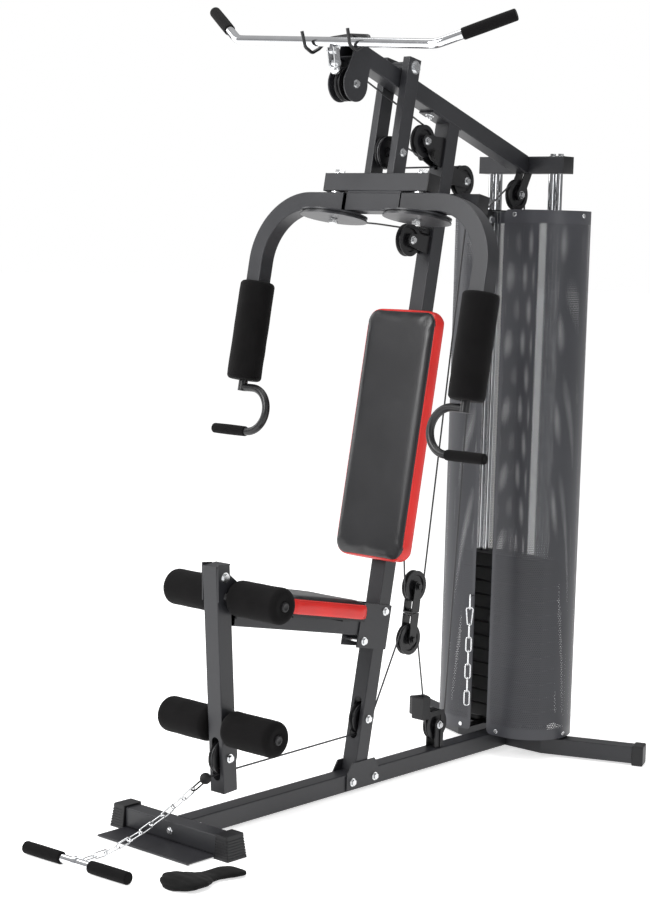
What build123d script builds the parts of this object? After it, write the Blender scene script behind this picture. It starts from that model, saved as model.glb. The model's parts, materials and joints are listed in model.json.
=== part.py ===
from build123d import *
import os
from math import asin, atan2, cos, hypot, pi, radians, sin

# Multi station home gym, in millimetres.
# +Z is up, the user faces -Y, the weight stack stands at +Y, and X = 0 is the centre plane.
# Everything is laid out with y = 0 at the front face of the front stabilizer, and is moved back
# by MIDDLE_Y when it is written, so that the origin is the centre of the footprint on the floor.

# ---- driving dimensions ----
MIDDLE_Y = 613.6            # centre of the footprint, behind the front stabilizer's front face
TUBE = 50.0                 # square tube of the frame
HALF = TUBE / 2
WALL = 2.0
CORNER = 3.0                # outer corner radius of the tubes
PLATE = 4.0                 # welded steel plate
BASE_Z = 6.0                # underside of the base tubes: the end caps carry them
BASE_TOP = BASE_Z + TUBE

LEAN_DEG = 10.4             # the upright leans back
UPRIGHT_Y = 685.0           # its front face where it meets the base tube
UPRIGHT_TOP = 1880.0        # along the upright, before the beam trims it
SLOT_LOW = 91.0             # slot for the low pulley, along the upright
SLOT_HIGH = 208.0
SLOT_WIDTH = 26.0

BEAM_DEG = 18.6             # the upper beam falls towards the rear
BEAM_REAR_Y = 1396.0        # its rear end, on the crossmember's front face
BEAM_REAR_Z = 1729.0        # its underside there
BEAM_LENGTH = 849.0

STAB_FRONT_HALF = 163.0
CAP_LENGTH = 45.0
STAB_REAR_HALF = 150.0      # straight middle of the rear stabilizer
STAB_WING = 270.0
STAB_WING_DEG = 22.0
STACK_Y = 1421.0            # axis of the stack and its rods
ROD_X = 97.0                # guide rods
POST_X = 120.5              # chrome posts beside them
ROD_R = 11.0
COVER_LOW = 62.0
COVER_HIGH = 1622.0
COVER_R = 131.0
COVER_X = 85.0              # centre of a cover's round side
COVER_EDGE_X = 30.0         # the covers leave this gap in front and behind
COVER_SHEET = 1.5

PLATE_COUNT = 12
LIFTED_COUNT = 5
PLATE_PITCH = 42.0
PLATE_GAP = 0.5
PLATE_HALF_X = 150.0
PLATE_HALF_Y = 50.0
STACK_LOW = 84.4            # underside of the lowest plate, on the bumpers

WHEEL_R = 45.0              # pulleys
WHEEL_HALF = 11.0
GUIDE_R = 30.0              # the small guide pulley
BOLT_R = 5.0
HOLE_PLAY = 0.25
RUNNING = 0.05              # radial play of a turning fit
CABLE_R = 2.5
GROOVE = 3.5                # a cable's axis runs this far inside the rim
EAR_IN = 13.0               # inside half width of a pulley bracket
EAR_OUT = EAR_IN + PLATE

HANGER_IN = 27.0
HANGER_OUT = 52.0
PRESS_T = -216.0            # press hangers, in front of the upright's front face
PIVOT_S = 1926.0            # press axle, along the upright
ARM_X = 147.0               # arm pivots
ARM_T = -230.0
ARM_S = 1550.0
ARM_OUT_X = 396.0
ARM_BEND = 170.0
ARM_LOW = 1045.0
CAM_R = 93.0
HANDLE_X = 356.0
HANDLE_R = 62.0
HANDLE_S = 956.0

LEVER_Y = 149.0             # lever pivot
LEVER_Z = 664.0
LEVER_DEG = -4.4
LEVER_UP = 31.0
LEVER_DOWN = -567.0
LEVER_WHEEL = -477.0
LEVER_ROD = -395.5
FOAM_R = 48.0
FOAM_OUT = 199.0
FOAM_IN = 30.0
ROLLER_ROD_R = 12.5

SEAT_W = 51.0
SEAT_LOW = 380.0            # seat tube's underside, along the upright
SEAT_TUBE_H = 40.0

BAR_R = 12.5
BAR_Y = 545.0
BAR_Z = 2035.0
BAR_TILT = 3.4              # the lat bar lies a little askew in its hooks
BAR_HALF = 346.0
BAR_SHIFT = -4.3             # that evens out the reach of its two raised ends

# wheel centres (y, z)
FRONT_WHEEL = (605.0, 1930.0)
REAR_WHEEL = (1379.5, 1666.0)
LOW_BASE_WHEEL = (1071.0, 123.0)
GUIDE_WHEEL = (1236.0, 1590.0)
FLOAT_HIGH = (953.6, 545.0)
FLOAT_LOW = (934.0, 394.0)

os.makedirs("parts", exist_ok=True)


# ---- frames and helpers ----
def leaning(origin_y, origin_z, angle):
    """A frame whose local Z leans back by angle, local Y points rearward, local X is X."""
    up = (0, sin(radians(angle)), cos(radians(angle)))
    return Plane(origin=(0, origin_y, origin_z), x_dir=(1, 0, 0), z_dir=up)


UPRIGHT = leaning(UPRIGHT_Y, BASE_TOP, LEAN_DEG)
LEVER = leaning(LEVER_Y, LEVER_Z, LEVER_DEG)
BEAM = leaning(BEAM_REAR_Y, BEAM_REAR_Z, BEAM_DEG)    # local -Y runs forward along the beam


def on(plane, y, z):
    """The (y, z) point of a local (y, z) in a leaning frame."""
    point = plane.from_local_coords(Vector(0, y, z))
    return (point.Y, point.Z)


def box(x, y, z):
    """A block between the (low, high) values of each axis."""
    size = (x[1] - x[0], y[1] - y[0], z[1] - z[0])
    return Pos((x[0] + x[1]) / 2, (y[0] + y[1]) / 2, (z[0] + z[1]) / 2) * Box(*size)


def tube(x, y, z, along):
    """A hollow rectangular tube with round corners, open at both ends of the axis it runs along."""
    spans = [x, y, z]
    inner = [(low + WALL, high - WALL) for low, high in spans]
    low, high = spans["xyz".index(along)]
    inner["xyz".index(along)] = (low - 1, high + 1)
    axis = {"x": Axis.X, "y": Axis.Y, "z": Axis.Z}[along]
    outside = box(*spans)
    return fillet(outside.edges().filter_by(axis), CORNER) - box(*inner)


def long_slot(low, high):
    """A round-ended slot through the front and back of a tube that stands along z."""
    cut = box((-SLOT_WIDTH / 2, SLOT_WIDTH / 2), (-HALF - 5, TUBE + 5), (low, high))
    return fillet(cut.edges().filter_by(Axis.Y), SLOT_WIDTH / 2 - 0.1)


def rod_x(radius, x, at):
    """A cylinder along X between two x values, on the (y, z) point at."""
    length = x[1] - x[0]
    turned = Rot(0, 90, 0) * Cylinder(radius, length)
    return Pos((x[0] + x[1]) / 2, at[0], at[1]) * turned


def rod_z(radius, z, x, y):
    """An upright cylinder between two z values."""
    return Pos(x, y, (z[0] + z[1]) / 2) * Cylinder(radius, z[1] - z[0])


def mirrored(shape):
    """A shape and its mirror image across the centre plane."""
    return [shape, shape.mirror(Plane.YZ)]


def slab_x(points, x):
    """A plate with an outline of (y, z) points, between two x values."""
    outline = Plane.YZ * make_face(Polyline(*points, close=True))
    return Pos(x[0], 0, 0) * extrude(outline, x[1] - x[0])


def leaf(x, points, eye, eye_r):
    """A plate of (y, z) points merged with a round eye, bored for a bolt."""
    merged = slab_x(points, x) + rod_x(eye_r, x, eye)
    return merged - rod_x(BOLT_R + HOLE_PLAY, (x[0] - 1, x[1] + 1), eye)


def bolt(at, grip, hub=None, wall=None, radius=BOLT_R):
    """A cross bolt on (y, z) with washers, a domed head and a nut, grip being half its grip.

    With a hub, spacer collars fill the room between a wheel's hub and the walls beside it.
    """
    head = Pos(grip + 5, *at) * (Rot(0, 90, 0) * extrude(RegularPolygon(radius * 1.75, 6), 6, both=True))
    head = head & rod_x(radius * 3, (grip + 2, grip + 8), at)
    shape = rod_x(radius, (-grip - 10, grip + 3), at) + head
    shape += rod_x(radius * 2.3, (grip, grip + 2), at) + rod_x(radius * 2.3, (-grip - 2, -grip), at)
    nut = Pos(-grip - 4, *at) * (Rot(0, 90, 0) * extrude(RegularPolygon(radius * 1.75, 6), 3, both=True))
    shape += nut & rod_x(radius * 3, (-grip - 7, -grip - 2), at)
    if hub:
        shape += rod_x(radius + 3, (hub + 0.3, wall), at)
        shape += rod_x(radius + 3, (-wall, -hub - 0.3), at)
    return shape


def drill(shape, at, radius=BOLT_R):
    """Bores right through along X at a (y, z) point."""
    return shape - rod_x(radius + HOLE_PLAY, (-300, 300), at)


def write(name, *solids):
    """Writes one node from one or more shapes, moved to the object's own origin."""
    pieces = [piece for shape in solids for piece in shape.solids()]
    moved = [Pos(0, -MIDDLE_Y, 0) * piece for piece in pieces]
    whole = moved[0] if len(moved) == 1 else Compound(children=moved)
    export_step(whole, f"parts/{name}.step")
    return whole


# ---- pulleys ----
def wheel(radius, at):
    """A grooved pulley with a hub and a thin web, turning on a cross bolt at (y, z)."""
    rim, web = 8.5, 4.0
    outline = Polyline(
        (BOLT_R + RUNNING, -WHEEL_HALF), (BOLT_R + 8, -WHEEL_HALF), (BOLT_R + 9, -web),
        (radius - 14, -web), (radius - 12, -rim), (radius, -rim), (radius, -6.5),
        (radius - 7, -2.5), (radius - 7, 2.5), (radius, 6.5), (radius, rim),
        (radius - 12, rim), (radius - 14, web), (BOLT_R + 9, web), (BOLT_R + 8, WHEEL_HALF),
        (BOLT_R + RUNNING, WHEEL_HALF), close=True)
    body = revolve(make_face(outline), Axis.Y)
    return Pos(0, *at) * (Rot(0, 0, 90) * body)


UPRIGHT_WHEEL = on(UPRIGHT, HALF, 149.0)
BEAM_WHEEL = on(UPRIGHT, -75.0, 1758.0)
BACK_WHEEL = on(UPRIGHT, 125.5, 1690.0)
BREAST_WHEEL = on(UPRIGHT, -75.0, 1480.0)
PRESS_WHEEL = on(UPRIGHT, PRESS_T, 1692.0)
LEVER_WHEEL_AT = on(LEVER, 0, LEVER_WHEEL)
PRESS_PIVOT = on(UPRIGHT, PRESS_T + 2, PIVOT_S)

WHEELS = {
    "front_pulley": (WHEEL_R, FRONT_WHEEL),
    "beam_pulley": (WHEEL_R, BEAM_WHEEL),
    "press_pulley": (WHEEL_R, PRESS_WHEEL),
    "back_pulley": (WHEEL_R, BACK_WHEEL),
    "rear_pulley": (WHEEL_R, REAR_WHEEL),
    "guide_pulley": (GUIDE_R, GUIDE_WHEEL),
    "breast_pulley": (WHEEL_R, BREAST_WHEEL),
    "upright_low_pulley": (WHEEL_R, UPRIGHT_WHEEL),
    "lever_pulley": (WHEEL_R, LEVER_WHEEL_AT),
    "base_pulley": (WHEEL_R, LOW_BASE_WHEEL),
    "float_high_pulley": (WHEEL_R, FLOAT_HIGH),
    "float_low_pulley": (WHEEL_R, FLOAT_LOW),
}
for wheel_name, (wheel_r, wheel_at) in WHEELS.items():
    write(wheel_name, wheel(wheel_r, wheel_at))


# ---- base ----
FOOT_BOLTS = [(672.0, BASE_Z + HALF), (767.0, BASE_Z + HALF)]
FRONT_BOLT = (78.0, BASE_Z + HALF)


def front_stabilizer():
    return tube((-STAB_FRONT_HALF, STAB_FRONT_HALF), (0, TUBE), (BASE_Z, BASE_TOP), "x")


def cap_block(inset):
    """The flared block of a front end cap, its open sides moved in by inset."""
    def ring(z, x_out, y_out):
        x = (STAB_FRONT_HALF, STAB_FRONT_HALF + x_out - inset)
        y = (HALF - y_out + inset, HALF + y_out - inset)
        corners = Rectangle(x[1] - x[0], y[1] - y[0])
        return Pos((x[0] + x[1]) / 2, (y[0] + y[1]) / 2, z) * fillet(corners.vertices(), 3)
    return loft([ring(0, CAP_LENGTH + 5, 35), ring(BASE_TOP + 5, CAP_LENGTH - 4, 30)])


def ribbed_cap():
    """A flared plastic foot with level ribs, plugged into the open end of the front stabilizer."""
    cap = cap_block(0)
    core = cap_block(1.4)
    for rib in range(7):
        z = 6.5 + rib * 7
        cap -= box((STAB_FRONT_HALF + 4, 300), (-50, 100), (z, z + 2.6)) - core
    return cap + box((STAB_FRONT_HALF - 25, STAB_FRONT_HALF + 2), (WALL + 0.5, TUBE - WALL - 0.5),
                     (BASE_Z + 2.5, BASE_TOP - 2.5))


def wing_end(length):
    """Centre of the rear stabilizer's wing at a length from its bend."""
    angle = radians(STAB_WING_DEG)
    return (STAB_REAR_HALF + length * cos(angle), STACK_Y - 5 + length * sin(angle))


def rear_stabilizer():
    """A bent tube whose wings sweep back, with the plate that the stack stands on."""
    tip = wing_end(STAB_WING)
    middle_y = STACK_Y - 5
    route = Polyline((-tip[0], tip[1], BASE_Z + HALF), (-STAB_REAR_HALF, middle_y, BASE_Z + HALF),
                     (STAB_REAR_HALF, middle_y, BASE_Z + HALF), (tip[0], tip[1], BASE_Z + HALF))
    start = Plane(origin=route @ 0, z_dir=route % 0)
    outer = sweep(start * RectangleRounded(TUBE, TUBE, CORNER), path=route, transition=Transition.RIGHT)
    hollow = Rectangle(TUBE - 2 * WALL, TUBE - 2 * WALL)
    inner = sweep(start * hollow, path=route, transition=Transition.RIGHT)
    stand = box((-140, 140), (STACK_Y - 38, STACK_Y + 34), (BASE_TOP, BASE_TOP + 6))
    return (outer - inner) + stand


def rear_cap():
    """A rubber end cap on a wing of the rear stabilizer."""
    tip = wing_end(STAB_WING)
    block = fillet(box((0, 34), (-HALF - 4, HALF + 4), (0, BASE_TOP + 4)).edges(), 5)
    plug = box((-22, 2), (-HALF + 2.5, HALF - 2.5), (BASE_Z + 2.5, BASE_TOP - 2.5))
    return Pos(tip[0], tip[1], 0) * (Rot(0, 0, STAB_WING_DEG) * (block + plug))


def foot_plate():
    """A flat sheet under the front stabilizer with a rolled front edge."""
    sheet = box((-STAB_FRONT_HALF, STAB_FRONT_HALF), (-95, TUBE), (BASE_Z - 3, BASE_Z))
    return sheet + rod_x(2.5, (-STAB_FRONT_HALF, STAB_FRONT_HALF), (-95, BASE_Z - 2.5))


def main_base():
    shape = tube((-HALF, HALF), (TUBE, STACK_Y - 5 - HALF), (BASE_Z, BASE_TOP), "y")
    for at in FOOT_BOLTS + [FRONT_BOLT]:
        shape = drill(shape, at)
    return shape


write("front_stabilizer", front_stabilizer())
write("end_caps", *mirrored(ribbed_cap()), *mirrored(rear_cap()))
write("foot_plate", foot_plate())
write("main_base", main_base())
write("rear_stabilizer", rear_stabilizer())


# ---- upright and upper beam ----
SEAT_BOLTS = [on(UPRIGHT, -49.5, 365.0), on(UPRIGHT, HALF, 452.0)]
FLANGE_BOLTS_Y = [-365.0, -462.0]     # beam bolts, forward along the beam from its rear end
CROSS_BOLTS_X = [ROD_X, POST_X + 4]


def upright_column():
    """The leaning tube with its slot, foot bracket, top flange, cable anchor and rear crossbar."""
    column = tube((-HALF, HALF), (0, TUBE), (-60, UPRIGHT_TOP), "z")
    slot = long_slot(SLOT_LOW, SLOT_HIGH)
    cable_hole = box((-6, 6), (-5, TUBE + 5), (1695, 1722))
    column = UPRIGHT.location * (column - slot - cable_hole)
    column -= box((-200, 200), (300, 1200), (-200, BASE_TOP))
    above = box((-200, 200), (-1200, 200), (-5, 400))
    column -= BEAM.location * above
    flange = BEAM.location * box((-HALF, HALF), (-480, -345), (-5, 0))
    foot = slab_x([(648, 10), (792, 10), (792, 40), (766, 84), (672, 84), (648, 48)], (HALF, HALF + PLATE))
    for side in mirrored(foot):
        column += side
    anchor_y, anchor_z = on(UPRIGHT, TUBE, 735.0)
    lug = slab_x([(anchor_y - 3, anchor_z - 22), (anchor_y + 22, anchor_z - 8),
                  (anchor_y + 22, anchor_z + 12), (anchor_y + 2, anchor_z + 22)], (-4, 4))
    inside = UPRIGHT.location * box((-10, 10), (-5, TUBE - 1), (0, 1800))
    column += flange
    column += lug - inside
    for at in FOOT_BOLTS + [UPRIGHT_WHEEL, SEAT_BOLTS[1]]:
        column = drill(column, at)
    for y in FLANGE_BOLTS_Y:
        column -= BEAM.location * rod_z(BOLT_R + HOLE_PLAY, (-10, 2), 0, y)
    return column + UPRIGHT.location * tube((-124, 124), (TUBE, 2 * TUBE), (1588, 1638), "x")


def upper_beam():
    """The sloping tube with the press axle's sleeve, the front pulley's plates and the crossmember."""
    beam = tube((-HALF, HALF), (-BEAM_LENGTH, 40), (0, TUBE), "y")
    for y in FLANGE_BOLTS_Y:
        beam -= rod_z(BOLT_R + HOLE_PLAY, (-5, TUBE + 5), 0, y)
    beam = BEAM.location * beam
    beam -= box((-100, 100), (BEAM_REAR_Y, BEAM_REAR_Y + 100), (1500, 2100))
    sleeve = rod_x(17, (-HALF, HALF), PRESS_PIVOT)
    beam = beam + (sleeve - BEAM.location * box((-40, 40), (-900, 0), (WALL, TUBE - WALL)))
    beam -= rod_x(8 + RUNNING, (-60, 60), PRESS_PIVOT)
    y, z = FRONT_WHEEL
    cheek = leaf((HALF, HALF + PLATE), [(y - 47, z + 8), (y + 47, z + 8), (y + 62, z + 72), (y - 4, z + 92)],
                 FRONT_WHEEL, 47)
    for side in mirrored(cheek):
        beam += side
    return beam + rear_crossmember()


def rear_crossmember():
    """The cross tube above the stack, bored for the bolts of the rods."""
    shape = tube((-STAB_REAR_HALF, STAB_REAR_HALF), (BEAM_REAR_Y, BEAM_REAR_Y + TUBE),
                 (BEAM_REAR_Z, BEAM_REAR_Z + TUBE), "x")
    for x in CROSS_BOLTS_X:
        for side in (-x, x):
            shape -= rod_z(BOLT_R + HOLE_PLAY, (BEAM_REAR_Z - 5, BEAM_REAR_Z + TUBE + 5), side, STACK_Y)
    return shape


def bar_hooks():
    """A round bar across the beam's tip that curls into a hook at each side for the lat bar."""
    route = FilletPolyline(
        (-79, 507, 2062), (-77, 520, 2022), (-75, 545, 2009), (-75, 572, 2022), (-72, 606, 2052),
        (0, 610, 2058), (72, 606, 2052), (75, 572, 2022), (75, 545, 2009), (77, 520, 2022),
        (79, 507, 2062), radius=13)
    section = Plane(origin=route @ 0, z_dir=route % 0) * Circle(4.5)
    saddle = box((-16, 16), (602, 622), (2040, 2056))
    saddle -= BEAM.location * box((-40, 40), (-900, 0), (-5, TUBE))
    return sweep(section, path=route) + saddle


write("upright_column", upright_column())
write("upper_beam", upper_beam())
write("bar_hooks", bar_hooks())


# ---- rear tower ----
COVER_SCREW_Z = [COVER_LOW + 13, COVER_HIGH - 14]


def tower_rod(x, bolt_x):
    """A chrome rod between the stand and the crossmember, bored at the top for its bolt."""
    rod = rod_z(ROD_R, (BASE_TOP + 6, BEAM_REAR_Z), x, STACK_Y)
    return rod - rod_z(BOLT_R + HOLE_PLAY, (BEAM_REAR_Z - 26, BEAM_REAR_Z + 1), bolt_x, STACK_Y)


def bumper():
    """A rubber block round a guide rod and its post, under the lowest plate."""
    block = box((74, 142), (STACK_Y - 26, STACK_Y + 26), (BASE_TOP + 6 + PLATE, STACK_LOW))
    block = fillet(block.edges().filter_by(Axis.Z), 12)
    for x in (ROD_X, POST_X):
        block -= rod_z(ROD_R + 0.2, (0, 200), x, STACK_Y)
    return block


def side_stop():
    """A rubber disc on the outside of the beam pulley's bracket."""
    return rod_x(15, (EAR_OUT, EAR_OUT + 12), on(UPRIGHT, -38.0, 1727.0))


def cover():
    """A half-round sheet, from a gap at the front round the stack to a gap at the rear."""
    def outline(radius):
        front, rear = STACK_Y - 6 - radius, STACK_Y - 6 + radius
        round_side = ThreePointArc((COVER_X, front), (COVER_X + radius, STACK_Y - 6), (COVER_X, rear))
        flats = Polyline((COVER_X, rear), (COVER_EDGE_X, rear), (COVER_EDGE_X, front), (COVER_X, front))
        return make_face([round_side, *flats.edges()])
    sheet = extrude(outline(COVER_R), COVER_HIGH - COVER_LOW)
    room = extrude(outline(COVER_R - COVER_SHEET), COVER_HIGH - COVER_LOW)
    shell = sheet - room
    corner = 16
    inner_x = COVER_EDGE_X + corner
    height = COVER_HIGH - COVER_LOW
    for low, high, middle in ((height - corner, height + 1, height - corner), (-1, corner, corner)):
        wedge = box((COVER_EDGE_X - 1, inner_x), (STACK_Y - 200, STACK_Y + 200), (low, high))
        round_part = Pos(inner_x, STACK_Y, middle) * (Rot(90, 0, 0) * Cylinder(corner, 400))
        shell -= wedge - round_part
    return Pos(0, 0, COVER_LOW) * shell


def cover_bracket(low, bar_low):
    """A flat bar from the chrome rods to the side and the front of a cover, with screw tabs."""
    reach = COVER_X + COVER_R - COVER_SHEET - 0.3
    front = STACK_Y - 6 - COVER_R + COVER_SHEET + 0.3
    height = (bar_low, bar_low + PLATE)
    tab = (low, low + 26)
    bar = box((60, reach - 3), (STACK_Y - 16, STACK_Y + 16), height)
    bar += box((52, 80), (front, STACK_Y - 10), height)
    bar += box((50, 82), (front, front + 3), tab)
    bar += box((reach - 6, reach), (STACK_Y - 12, STACK_Y + 4), tab)
    for x in (ROD_X, POST_X):
        bar -= rod_z(ROD_R + 0.2, (low - 10, low + 40), x, STACK_Y)
    round_room = rod_z(reach - COVER_X, (low - 1, low + 30), COVER_X, STACK_Y - 6)
    inside = round_room + box((0, COVER_X), (front, STACK_Y + 100), (low - 1, low + 30))
    return bar & inside


tower_rods = []
for tower_x, cross_bolt_x in zip((ROD_X, POST_X), CROSS_BOLTS_X):
    tower_rods += mirrored(tower_rod(tower_x, cross_bolt_x))
write("guide_rods", *tower_rods)
write("rubber_bumpers", *mirrored(bumper()), *mirrored(side_stop()))
write("cover_right", cover())
write("cover_left", cover().mirror(Plane.YZ))
low_bracket = cover_bracket(COVER_LOW, COVER_LOW)
high_bracket = cover_bracket(COVER_HIGH - 27, COVER_HIGH - 5)
write("cover_brackets", *mirrored(low_bracket), *mirrored(high_bracket))


# ---- brackets of the fixed pulleys ----
def fork(foot_points, at, eye_r=18.0):
    """Two ears beside a pulley, joined to the frame along the first edge of the outline."""
    return mirrored(leaf((EAR_IN, EAR_OUT), foot_points, at, eye_r))


def level(*points):
    """Local (t, s) points of the upright as (y, z) points."""
    return [on(UPRIGHT, t, s) for t, s in points]


def pulley_brackets():
    ears = []
    ears += fork(level((0, 1700), (0, 1785), (-70, 1776), (-75, 1740), (-45, 1712)), BEAM_WHEEL)
    ears += fork(level((TUBE, 1665), (TUBE, 1718), (125, 1708), (125, 1672)), BACK_WHEEL)
    ears += fork(level((0, 1455), (0, 1505), (-75, 1498), (-75, 1462)), BREAST_WHEEL)
    y, z = REAR_WHEEL
    ears += fork([(BEAM_REAR_Y, BEAM_REAR_Z), (BEAM_REAR_Y + 34, BEAM_REAR_Z), (y + 18, z), (y - 18, z + 4)],
                 REAR_WHEEL)
    y, z = LOW_BASE_WHEEL
    ears += fork([(y - 17, BASE_TOP), (y + 17, BASE_TOP), (y + 17, z), (y - 17, z)], LOW_BASE_WHEEL)
    y, z = GUIDE_WHEEL
    ears += fork(level((2 * TUBE, 1590), (2 * TUBE, 1636)) + [(y - 4, z + 22), (y + 14, z), (y, z - 16)],
                 GUIDE_WHEEL, 16.0)
    return ears


def cable_guard():
    """A moulded block round the cable, in front of the base pulley, on a stalk from its bracket."""
    y, z = LOW_BASE_WHEEL
    block = box((-20, 20), (y - 84, y - 49), (z + 26, z + 92))
    block = fillet(block.edges().filter_by(Axis.X), 5)
    lane = box((-6, 6), (y - 74, y - 40), (z + 20, z + 100))
    for tooth in range(5):
        x = -17.5 + tooth * 8
        block -= box((x, x + 3), (y - 90, y - 40), (z + 89, z + 95))
    stalk = box((EAR_OUT, EAR_OUT + 3), (y - 62, y + 17), (z + 30, z + 44))
    stalk += box((EAR_OUT, EAR_OUT + 3), (y + 3, y + 17), (BASE_TOP, z + 44))
    stalk = drill(stalk, LOW_BASE_WHEEL, 14.0)
    return (block - lane) + stalk + stalk.mirror(Plane.YZ)


write("pulley_brackets", *pulley_brackets(), cable_guard())


# ---- seat ----
UPPER_ROD = (192.0, 607.6)


def seat_frame():
    """The seat tube, its sleeve round the upright and the two plates that carry the leg lever."""
    half = SEAT_W / 2
    frame = tube((-half, half), (-573, 0), (SEAT_LOW, SEAT_LOW + SEAT_TUBE_H), "y")
    side = box((half, half + PLATE), (-75, TUBE + 1), (346, 470))
    for piece in mirrored(side):
        frame += piece
    frame = UPRIGHT.location * frame
    cheek = slab_x([(124, 700), (158, 697), (164, 672), (228, 624), (258, 600), (262, 540),
                    (196, 552), (186, 598), (128, 602)], (half, half + PLATE))
    for piece in mirrored(cheek):
        frame += piece
    for at in SEAT_BOLTS:
        frame = drill(frame, at)
    frame = drill(frame, (LEVER_Y, LEVER_Z), 6.0)
    frame = drill(frame, UPPER_ROD, ROLLER_ROD_R - HOLE_PLAY)
    return frame + rod_x(ROLLER_ROD_R, (-FOAM_OUT + 2, FOAM_OUT - 2), UPPER_ROD)


def roller(at):
    """A foam roller with rounded ends and a plastic plug, beside the centre plane at (y, z)."""
    foam = Rot(0, 90, 0) * Cylinder(FOAM_R, FOAM_OUT - FOAM_IN)
    foam = fillet(foam.edges(), 20)
    foam = Pos((FOAM_OUT + FOAM_IN) / 2, *at) * foam
    foam -= rod_x(ROLLER_ROD_R + 0.1, (0, FOAM_OUT - 2), at)
    return foam + rod_x(13, (FOAM_OUT - 1, FOAM_OUT + 3), at)


def seat_pad():
    block = box((-130, 130), (-492, -145), (432, 481))
    block = fillet(block.edges().filter_by(Axis.Z), 38)
    block = fillet(block.faces().sort_by(Axis.Z)[-1].edges(), 14)
    return UPRIGHT.location * block


def back_pad():
    block = box((-128, 128), (-62, -12), (590, 1294))
    block = fillet(block.edges().filter_by(Axis.Y), 40)
    block = fillet(block.faces().sort_by(Axis.Y)[0].edges(), 16)
    return UPRIGHT.location * block


def pad_brackets():
    """Boards behind the pads, and the steel strips that hold them to the tubes."""
    seat_board = box((-118, 118), (-470, -165), (426, 432))
    back_board = box((-112, 112), (-12, -5), (620, 1264))
    strips = [box((-95, 95), (t, t + 30), (SEAT_LOW + SEAT_TUBE_H, 426)) for t in (-430, -230)]
    strips += [box((-90, 90), (-5, 0), (s, s + 30)) for s in (720, 1140)]
    return [UPRIGHT.location * piece for piece in [seat_board, back_board] + strips]


write("seat_frame", seat_frame())
write("upper_rollers", *mirrored(roller(UPPER_ROD)))
write("seat_pad", seat_pad())
write("back_pad", back_pad())
write("pad_brackets", *pad_brackets())


# ---- leg lever ----
LOWER_ROD = on(LEVER, 0, LEVER_ROD)


def leg_lever():
    """The lever tube with its top plate, pulley slot and roller rod."""
    lever = tube((-HALF, HALF), (-HALF, HALF), (LEVER_DOWN, LEVER_UP - 3), "z")
    lever += box((-HALF, HALF), (-HALF, HALF), (LEVER_UP - 3, LEVER_UP))
    lever -= long_slot(LEVER_WHEEL - 58, LEVER_WHEEL + 58)
    lever = LEVER.location * lever
    lever -= rod_x(6 + RUNNING, (-60, 60), (LEVER_Y, LEVER_Z))
    lever = drill(lever, LEVER_WHEEL_AT)
    lever = drill(lever, LOWER_ROD, ROLLER_ROD_R - HOLE_PLAY)
    rod = rod_x(ROLLER_ROD_R, (-FOAM_OUT + 2, FOAM_OUT - 2), LOWER_ROD)
    return [lever + rod, bolt(LEVER_WHEEL_AT, HALF, WHEEL_HALF, HALF - WALL - 0.1)]


write("leg_lever", *leg_lever())
write("lower_rollers", *mirrored(roller(LOWER_ROD)))


# ---- press arm ----
def press_frame():
    """Two hangers, the cross tube under them and the shorter tube between the arms."""
    t_low, t_high = PRESS_T - HALF, PRESS_T + HALF
    hanger = tube((HANGER_IN, HANGER_OUT), (t_low, t_high), (1629.5, 1950), "z")
    cross = tube((-180, 180), (-250, -200), (1579.5, 1629.5), "x")
    middle = tube((-94, 94), (-250, -200), (1525, 1575), "x") + box((-94, 94), (-248, -202), (1575, 1579.5))
    frame = cross + middle
    for side in mirrored(hanger):
        frame += side
    for x in (-ARM_X, ARM_X):
        frame -= rod_z(8 + HOLE_PLAY, (1570, 1640), x, ARM_T)
    frame = UPRIGHT.location * frame
    frame = drill(frame, PRESS_PIVOT, 8.0)
    return drill(frame, PRESS_WHEEL)


def press_hardware():
    """The press axle, the press pulley's bolt and the two arm pivots with their washers."""
    axle = bolt(PRESS_PIVOT, HANGER_OUT, radius=8.0)
    for spacer in ((HALF + 0.3, HANGER_IN), (-HANGER_IN, -HALF - 0.3)):
        axle += rod_x(11, spacer, PRESS_PIVOT)
    pivots = []
    for x in (-ARM_X, ARM_X):
        pin = rod_z(8, (1494, 1640), x, ARM_T) + rod_z(18, (1575.4, 1579.5), x, ARM_T)
        head = Pos(x, ARM_T, 1631.5) * extrude(RegularPolygon(14, 6), 9)
        nut = Pos(x, ARM_T, 1494) * extrude(RegularPolygon(13, 6), 8)
        pin += head + nut + rod_z(17, (1629.5, 1632), x, ARM_T)
        pivots.append(UPRIGHT.location * pin)
    return [axle, bolt(PRESS_WHEEL, HANGER_OUT, WHEEL_HALF, HANGER_IN)] + pivots


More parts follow.
